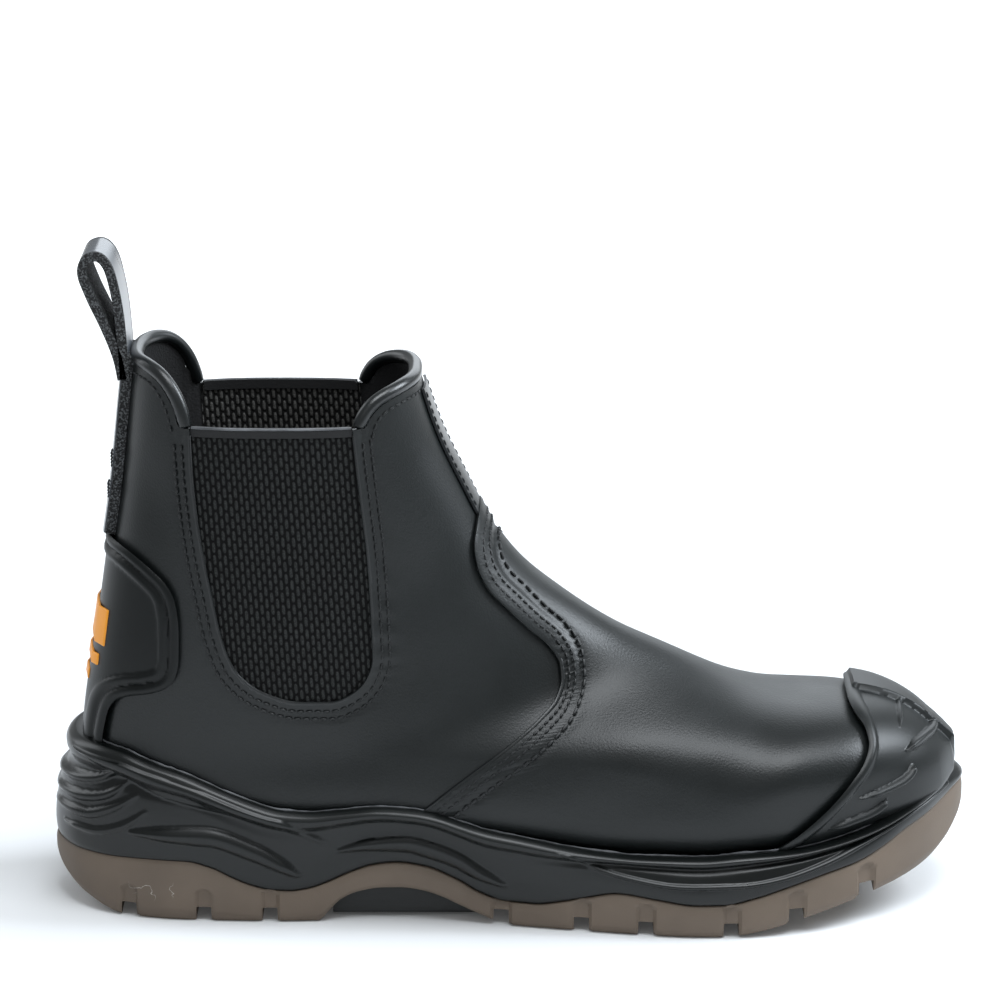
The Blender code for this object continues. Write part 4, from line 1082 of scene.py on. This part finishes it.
def build_gores():
    """Elastic of each side, with the tape and the pale edge along its top."""
    top = up(GORE_TOP)
    for name, node, side, turns in (("gore_lateral_weave", "gore_lateral", -1.0, (0.08, 0.42)),
                                    ("gore_medial_weave", "gore_medial", 1.0, (0.58, 0.92))):
        made = skin_mesh(name, -GORE_RECESS, 150, 90, start=1.0, end=10.0, turns=turns)
        trim_side(made, gore_outline(-0.0006, top))
        made.data.materials.append(WEAVE)
        # Inner faces: the back of the elastic, lightened as painted light
        made.data.materials.append(WEAVE_BACK_PAINTED_LIGHT)
        thicken(made, GORE_THICK, True)
        finish_piece(made, None, (node,))
        tape = skin_mesh(name + "_tape", TAPE_OUT - GORE_RECESS, 60, 90, start=1.0, end=4.0, turns=turns)
        trim_side(tape, gore_outline(0.0001, top + TAPE_OVER))
        trim(tape, lambda places: places[:, 2] - (top - TAPE_UNDER))
        thicken(tape, TAPE_THICK)
        finish_piece(tape, TAPE)
        outline = gore_outline(TAPE_OUT, top + TAPE_OVER)
        line = [(x, top + TAPE_OUT) for x in np.linspace(outline[0][0], outline[-1][0], 60)]
        places, normals = surface_line(line, side, TAPE_OUT / 2.0 - GORE_RECESS)
        finish_piece(cord(name + "_edge", places, EDGE_RADIUS, normals), GLUE)


def gore_seams():
    """Folded edge round each cut-out, and its two rows of stitches."""
    cords = []
    edges = []
    for side in (-1.0, 1.0):
        for drop in (0.0004, *GORE_ROWS):
            fold = drop not in GORE_ROWS
            high = up(GORE_TOP) - (0.001 if fold else 0.004)
            line = [p for p in shifted(side_line(GORE, 160), -drop) if p[1] < high]
            places, normals = surface_line(line, side, 0.0)
            if fold:
                edges.append((places, 0.00075, normals, 8, 0.7))
            else:
                cords += stitch_cords(places + normals * 0.0001, normals)
    finish_piece(join_cords("gore_edges", edges), ROLL_LEATHER)
    finish_piece(join_cords("gore_stitches", cords), THREAD)


def vamp_seams():
    """Rolled edge of the vamp and its stitch rows."""
    line = side_line(SEAM, 220)
    line = np.array([p for p in line if p[1] > height_line(RIM, p[0]) - 0.001])
    places, normals = ridge_line(line, VAMP_STEP * 0.55)
    edge = (places, 0.00080, normals, 8, 0.8)
    cords = []
    for drop, size in VAMP_ROWS:
        row = [p for p in shifted(line, drop) if p[1] > height_line(RIM, p[0]) + 0.0005]
        places, normals = ridge_line(row, VAMP_STEP + (0.0001 if size > 1.0 else 0.0004))
        cords += stitch_cords(places, normals, STITCH_LONG * size, STITCH_PITCH * size, STITCH_RADIUS * size)
    finish_piece(join_cords("vamp_edge", [edge]), ROLL_LEATHER)
    finish_piece(join_cords("vamp_stitches", cords), THREAD)


def roll_path(table, facing):
    """Middle line of a collar roll, round the shaft at the height the table gives."""
    line = shifted(side_line(table, 160), -ROLL_RADIUS)
    line = line[line[:, 1] > up(GORE_TOP) + 0.0006]
    order = np.argsort(line[:, 0])
    axis_x = 0.5 * (along(GORE[0][0]) + along(GORE[-1][0]))
    low = line[np.argmin(line[:, 1])]
    ends = []
    for side in (-1.0, 1.0):
        hit, _ = met((low[0], 0.0, low[1]), (0.0, side, 0.0))
        ends.append(math.atan2(hit[1], facing * (low[0] - axis_x)))
    path = []
    for turn in np.linspace(ends[0], ends[1], 120):
        way = np.array([facing * math.cos(turn), math.sin(turn), 0.0])
        z = low[1]
        for _ in range(14):
            hit, _ = met((axis_x, 0.0, z), way)
            z = 0.5 * z + 0.5 * float(np.interp(hit[0], line[order, 0], line[order, 1]))
        hit = hit - way * ROLL_IN
        path.append((hit[0], hit[1], z))
    path = np.stack([softened(column, 5) for column in np.array(path).T], 1)
    drop = np.array([0.0, 0.0, -0.0016])
    return np.concatenate([[path[0] + drop], path, [path[-1] + drop]])


def build_collar():
    """Padded roll of each half of the collar, with the row of stitches under it."""
    for name, node, table, facing in (("back_roll", "collar_roll_back", COLLAR_BACK, -1.0),
                                      ("front_roll", "collar_roll_front", COLLAR_FRONT, 1.0)):
        path = roll_path(table, facing)
        radii = np.full(len(path), ROLL_RADIUS)
        radii[:2] *= (0.72, 0.92)
        radii[-2:] *= (0.92, 0.72)
        finish_piece(cord(name, path, radii, None, 20), ROLL_LEATHER, (node,))
        line = shifted(side_line(table, 120), -(2.0 * ROLL_RADIUS + COLLAR_ROW))
        line = [p for p in line if p[1] > up(GORE_TOP) - 0.004]
        cords = []
        for side in (-1.0, 1.0):
            places, normals = surface_line(line, side, 0.0001)
            keep = np.abs(places[:, 1]) > 0.012
            cords += stitch_cords(places[keep], normals[keep])
        finish_piece(join_cords(name + "_stitches", cords), THREAD)


# Sole

def plan_ring(count):
    """Sole outline from above, once round from the heel, with its outward directions."""
    turn = np.linspace(0.0, math.pi, count)
    share = 0.5 * (1.0 - np.cos(turn))
    plan = [(math.acos(1.0 - 2.0 * row[0]), *row[1:]) for row in SOLE_PLAN]
    lateral = -across(softened(read_table(plan, turn), 8))
    medial = across(softened(read_table(plan, turn, 2), 8))
    near = np.stack([along(share), lateral], 1)
    far = np.stack([along(share), medial], 1)[1:-1][::-1]
    ring = np.concatenate([near, far])
    run = np.roll(ring, -1, axis=0) - np.roll(ring, 1, axis=0)
    run /= np.linalg.norm(run, axis=1)[:, None]
    return ring, np.stack([run[:, 1], -run[:, 0]], 1)


def softened_ring(values, reach):
    padded = np.concatenate([values[-reach:], values, values[:reach]])
    weights = np.exp(-np.linspace(-2.0, 2.0, 2 * reach + 1) ** 2)
    return np.convolve(padded, weights / weights.sum(), "valid")


def rim_ring(ring, outward_way):
    """Outer and inner edge of the midsole's rim, found against the side of the last."""
    edge = []
    inner = []
    widths = read_table(RIM_WIDTH, (ring[:, 0] - HEEL_BACK) / LENGTH)
    for place, way, width in zip(ring, outward_way, widths):
        x = place[0]
        for _ in range(3):
            z = float(height_line(RIM, x)) + RIM_LIFT
            hit, _ = met((*(place + way * REACH), z), (-way[0], -way[1], 0.0))
            x = hit[0] + way[0] * width
        z = float(height_line(RIM, x))
        edge.append((*(hit[:2] + way * width), z))
        inner.append((*(hit[:2] - way * 0.0004), z))
    return (np.stack([softened_ring(column, 6) for column in np.asarray(line).T], 1)
            for line in (edge, inner))


def build_midsole():
    ring, way = plan_ring(430)
    rim, inner = rim_ring(ring, way)
    joint = height_line(JOINT, ring[:, 0]) + GAP
    heights = np.concatenate([np.linspace(0.0, 0.78, 44), np.linspace(0.79, 1.0, 22)])
    ins = read_table(MIDSOLE_SIDE, heights)
    bulges = read_table(MIDSOLE_SIDE, heights, 2)
    levels = []
    low, high = RELIEF_BAND
    for height, way_in, bulge in zip(heights, ins, bulges):
        flat = ring + (rim[:, :2] - ring) * way_in
        tall = joint + (rim[:, 2] - joint) * height
        rise = np.zeros(len(ring))
        if low < height < high:
            rise = stroke_relief(np.stack([flat[:, 0], tall], 1), SOLE_RELIEF)
            rise *= min(1.0, (height - low) / 0.05)
        levels.append(np.column_stack([flat + way * (bulge + rise)[:, None], tall]))
    # Over the rim, down inside it, and back under the boot
    levels.append(np.column_stack([rim[:, :2] - way * 0.0012, rim[:, 2] + 0.0001]))
    levels.append(np.column_stack([inner[:, :2], inner[:, 2] - 0.0002]))
    under = np.maximum(inner[:, 2] - 0.006, joint + 0.002)
    levels.append(np.column_stack([inner[:, :2] - way * 0.0006, under]))
    levels.append(np.column_stack([ring - way * 0.012, joint + 0.0001]))
    vertices = np.concatenate(levels)
    # One ring more than there are levels: the last level is joined to the first
    faces = [tuple(corner % len(vertices) for corner in face)
             for face in ring_faces(len(levels) + 1, len(ring))]
    made = new_object("midsole_rubber", vertices, faces)
    finish_piece(made, RUBBER, ("midsole",), 60.0)
    # Thin uneven line of glue and feathered rubber along the top of the rim
    rng = np.random.default_rng(GLUE_SEED)
    wobble = softened_ring(rng.normal(0.0, 1.0, len(rim)), 3)
    thick = 0.00032 + 0.00016 * softened_ring(rng.normal(0.0, 1.0, len(rim)), 3)
    line = np.column_stack([inner[:, :2] + way * 0.0011, inner[:, 2] + 0.00015 + 0.00012 * wobble])
    line = np.concatenate([line, line[:1]])
    thick = np.clip(np.concatenate([thick, thick[:1]]), 0.0002, 0.0009)
    finish_piece(cord("rim_glue", line, thick, None, 8), GLUE)


def build_outsole():
    ring, way = plan_ring(330)
    tread = height_line(TREAD, ring[:, 0])
    joint = height_line(JOINT, ring[:, 0])
    heights = np.concatenate([np.linspace(0.0, 0.22, 8), np.linspace(0.25, 1.0, 26)])
    ins = read_table(OUTSOLE_SIDE, heights)
    levels = []
    for height, way_in in zip(heights, ins):
        tall = tread + (joint - tread) * height
        dent = np.zeros(len(ring))
        for share in GROOVES:
            place = along(share)
            base = float(height_line(TREAD, place))
            beside = np.abs(ring[:, 0] - place) / RECESS_HALF
            top = base + GROOVE_DEPTH + RECESS_TALL
            room = np.clip((top - tall) / RECESS_HALF, 0.0, 1.0)
            edge = 1.0 - np.sqrt(beside ** 2 + np.clip(1.0 - room, 0.0, 1.0) ** 2)
            dent = np.maximum(dent, np.where(tall < top, np.clip(edge * 4.0, 0.0, 1.0), 0.0))
        flat = ring - way * (way_in * TREAD_EDGE + dent * RECESS_DEPTH)[:, None]
        levels.append(np.column_stack([flat, tall]))
    count = len(ring)
    faces = ring_faces(len(levels), count)
    # Top and bottom, closed by strips from side to side
    for first in (0, (len(levels) - 1) * count):
        for k in range(count // 2):
            corners = dict.fromkeys((k, k + 1, (count - k - 1) % count, (count - k) % count))
            faces.append(tuple(first + corner for corner in corners))
    made = new_object("outsole_rubber", np.concatenate(levels), faces)
    cutter = groove_cutter()
    cut = made.modifiers.new("grooves", "BOOLEAN")
    cut.operation = "DIFFERENCE"
    cut.solver = "EXACT"
    cut.object = cutter
    apply(made, cut)
    bpy.data.objects.remove(cutter)
    finish_piece(made, TREAD_RUBBER, ("outsole",), 35.0)


def groove_cutter():
    """Grooves in from both sides of the tread, a little narrower at the top."""
    vertices = []
    faces = []
    for share in GROOVES:
        place = along(share)
        base = float(height_line(TREAD, place))
        half = GROOVE_WIDTH / 2.0
        outline = ((place - half * 1.1, base - 0.02), (place + half * 1.1, base - 0.02),
                   (place + half * 0.9, base + GROOVE_DEPTH), (place - half * 0.9, base + GROOVE_DEPTH))
        for ends in ((-REACH, -GROOVE_WEB), (GROOVE_WEB, REACH)):
            first = len(vertices)
            vertices += [(x, y, z) for y in ends for x, z in outline]
            box = [(0, 1, 2, 3), (4, 5, 6, 7)] + ring_faces(2, 4)
            faces += [tuple(first + corner for corner in face) for face in box]
    return new_object("groove_cutter", vertices, faces)


# Guards

def guard_relief(places):
    """Ribs, edge, band over the toe and the foot that flows out into the sole."""
    side = places[:, [0, 2]]
    rise = stroke_relief(side, GUARD_RELIEF)
    near, _ = line_distance(side, side_line(GUARD, 120))
    border, half, inset = GUARD_BORDER
    rise = np.maximum(rise, border * hump(near - inset, half))
    middle = (GUARD_BAND_HALF - np.abs(places[:, 1] - GUARD_BAND_MIDDLE)) / (1.2 * GUARD_BAND_SOFT)
    start = (places[:, 0] - along(GUARD_BAND_START)) / GUARD_BAND_SOFT
    end = (places[:, 2] - up(GUARD_BAND_LOW)) / GUARD_BAND_SOFT
    band = np.clip(np.minimum(np.minimum(middle, start), end), 0.0, 1.0)
    first, run, tall, foot = GUARD_FOOT
    low = places[:, 2] - height_line(RIM, places[:, 0])
    flow = np.clip((places[:, 0] - along(first)) / run, 0.0, 1.0) * np.clip(1.0 - low / tall, 0.0, 1.0)
    return np.maximum(rise, GUARD_BAND_RISE * band) + foot * flow


def build_guard():
    made = skin_mesh("toe_guard_rubber", GUARD_OUT, 180, 480, start=15.0, tip=True)
    trim_side(made, toe_side(side_line(GUARD, 140)))
    trim_side(made, over_line(rim_line(-0.0012)))
    lift(made, guard_relief)
    thicken(made, GUARD_THICK)
    finish_piece(made, GUARD_RUBBER, ("toe_guard",), 50.0)


def counter_relief(places):
    """Two raised lines along the edge of the heel counter."""
    depth = inside(places[:, [0, 2]], heel_side(side_line(COUNTER, 140)))
    border, half = COUNTER_BORDER
    return border * np.max([hump(depth - inset, half) for inset in COUNTER_INSETS], axis=0) ** 0.7


def build_counter():
    made = skin_mesh("heel_counter_rubber", COUNTER_OUT, 190, 240, start=3.0, end=11.0, turns=(-0.27, 0.27))
    trim_side(made, heel_side(side_line(COUNTER, 140)))
    trim_side(made, over_line(rim_line(-0.0015)))
    lift(made, counter_relief)
    thicken(made, COUNTER_THICK)
    finish_piece(made, SHADED_COUNTER_RUBBER, ("heel_counter",), 50.0)


def merged_copy(node, name, used, bevel=0.0):
    """Copy of a CAD node with its loose triangles merged and its edges softened."""
    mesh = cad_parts[node].data.copy()
    work = bmesh.new()
    work.from_mesh(mesh)
    bmesh.ops.remove_doubles(work, verts=work.verts, dist=MERGE)
    bmesh.ops.dissolve_limit(work, angle_limit=math.radians(1.0), verts=work.verts, edges=work.edges)
    work.to_mesh(mesh)
    work.free()
    made = linked(name, mesh)
    if bevel:
        soft = made.modifiers.new("soft", "BEVEL")
        soft.width = bevel
        soft.segments = 3
        soft.limit_method = "ANGLE"
        soft.angle_limit = math.radians(50.0)
        apply(made, soft)
    finish_piece(made, used, (node,))


# Strip, strap and loop

def build_strip():
    """Narrow strip down the front tab, with its two rows of stitches."""
    made = skin_mesh("front_strip_leather", STRIP_OUT, 120, 160, start=1.5, end=5.5, turns=(0.36, 0.64))
    low, high = up(STRIP_SPAN)
    trim_band(made, STRIP_HALF, low, high)
    thicken(made, STRIP_THICK)
    finish_piece(made, STRIP_LEATHER, ("front_strip",))
    cords = []
    for y in (0.0016 - STRIP_HALF, STRIP_HALF - 0.0016):
        heights = np.linspace(low + 0.0015, high - 0.001, 60)
        found = [met((AHEAD, y, z), (-1.0, 0.0, 0.0)) for z in heights]
        normals = np.array([normal for _, normal in found])
        places = np.array([place for place, _ in found]) + normals * (STRIP_OUT + 0.0001)
        cords += stitch_cords(places, normals, radius=0.00028)
    finish_piece(join_cords("front_strip_stitches", cords), THREAD)


def build_strap():
    """Webbing strap up the back with its smooth facing."""
    low = up(COUNTER[0][1]) + GAP
    for name, out, half, thick, used in (
            ("strap_webbing", STRAP_OUT - 0.0004, STRAP_HALF, STRAP_THICK - 0.0005, WEBBING),
            ("strap_facing", STRAP_OUT, STRAP_HALF - 0.0012, 0.0006, SATIN)):
        made = skin_mesh(name, out, 150, 70, start=0.5, end=6.5, turns=(-0.17, 0.17))
        trim_band(made, half, low, up(STRAP_TOP))
        thicken(made, thick)
        finish_piece(made, used)


def build_loop():
    """Ribbon of the pull loop, with the smooth tape on its outer face only, and the bar tacks."""
    line = np.stack([softened(column, 4) for column in side_line(LOOP, 110).T], 1)
    sides = [shifted(line, LOOP_THICK / 2.0), shifted(line, -LOOP_THICK / 2.0)]
    loop = np.concatenate([sides[0], sides[1][::-1]])
    widths = np.linspace(-STRAP_HALF, STRAP_HALF, 15)
    count = len(loop)
    half = len(line)
    faces = ring_faces(len(widths), count)
    for first in (0, (len(widths) - 1) * count):
        for i in range(half - 1):
            faces.append((first + i, first + i + 1, first + count - 2 - i, first + count - 1 - i))
    made = new_object("loop_webbing", [(p[0], y, p[1]) for y in widths for p in loop], faces)
    made.data.materials.append(WEBBING)
    made.data.materials.append(SATIN)
    reaches = [np.linalg.norm(side - line.mean(axis=0), axis=1).sum() for side in sides]
    for face in made.data.polygons:
        within = abs(face.center.y) < STRAP_HALF - 0.0018 and abs(face.normal.y) < 0.5
        outer = (face.index % count < half) == (reaches[0] > reaches[1])
        face.material_index = int(within and outer)
    finish_piece(made, None, ("pull_loop",), 50.0)
    tack = []
    for z in TACK_HEIGHTS:
        for y in TACK_SIDES:
            place, normal = met((BEHIND, y, up(z)), (1.0, 0.0, 0.0))
            for step in np.linspace(-0.0022, 0.0022, 5):
                centre = place + normal * (STRAP_OUT + 0.0002) + np.array([0.0, 0.0, step])
                thread = [centre + np.array([0.0, s, 0.0]) for s in (-0.0024, 0.0, 0.0024)]
                tack.append((thread, 0.0004, np.tile(normal, (3, 1)), 6, 0.8))
    finish_piece(join_cords("strap_tacks", tack), THREAD)


# Stage

def build_stage():
    bpy.ops.mesh.primitive_plane_add(size=6.0, location=(0.0, 0.0, 0.0))
    floor = bpy.context.active_object
    floor.name = "floor"
    paper, tree, shader = new_material("paper")
    far = add_node(tree, "ShaderNodeSeparateXYZ", {0: object_place(tree)}).outputs["Y"]
    fill(tree, shader, {
        "Base Color": (0.80, 0.81, 0.82),
        "Roughness": 0.9,
        "Specular IOR Level": 0.1,
        "Emission Color": (1.0, 1.0, 1.0),
        "Emission Strength": ramp(tree, far, 0.04, 0.75, 0.15, 1.3)})
    floor.data.materials.append(paper)
    world = bpy.data.worlds.new("studio")
    bpy.context.scene.world = world
    world.use_nodes = True
    background = world.node_tree.nodes["Background"]
    fill(world.node_tree, background, {"Color": WORLD_COLOUR, "Strength": WORLD_STRENGTH})
    for name, at, target, wide, tall, power, colour in LIGHTS:
        data = bpy.data.lights.new(name, "AREA")
        data.shape = "RECTANGLE"
        data.size = wide
        data.size_y = tall
        data.energy = power
        data.color = colour
        lamp = linked(name, data)
        lamp.location = at
        lamp.rotation_euler = (Vector(target) - Vector(at)).to_track_quat("-Z", "Y").to_euler()


def build_camera():
    data = bpy.data.cameras.new("photo_camera")
    data.lens = CAMERA_LENS
    data.sensor_width = CAMERA_SENSOR
    data.shift_x = CAMERA_SHIFT
    camera = linked("photo_camera", data)
    camera.location = CAMERA_AT
    camera.rotation_euler = (math.pi / 2.0 - CAMERA_DOWN, 0.0, 0.0)
    bpy.context.scene.camera = camera


build_upper()
build_vamp()
build_gores()
gore_seams()
vamp_seams()
build_collar()
build_midsole()
build_outsole()
build_guard()
build_counter()
build_strip()
build_strap()
build_loop()
merged_copy("insole", "insole_felt", FELT)
merged_copy("arch_block", "arch_block_rubber", BLOCK_RUBBER, 0.0012)
for number in (1, 2, 3):
    merged_copy("counter_bar_%d" % number, "printed_bar_%d" % number, ORANGE, 0.0003)
build_stage()
build_camera()
bpy.context.scene.view_settings.view_transform = "Standard"
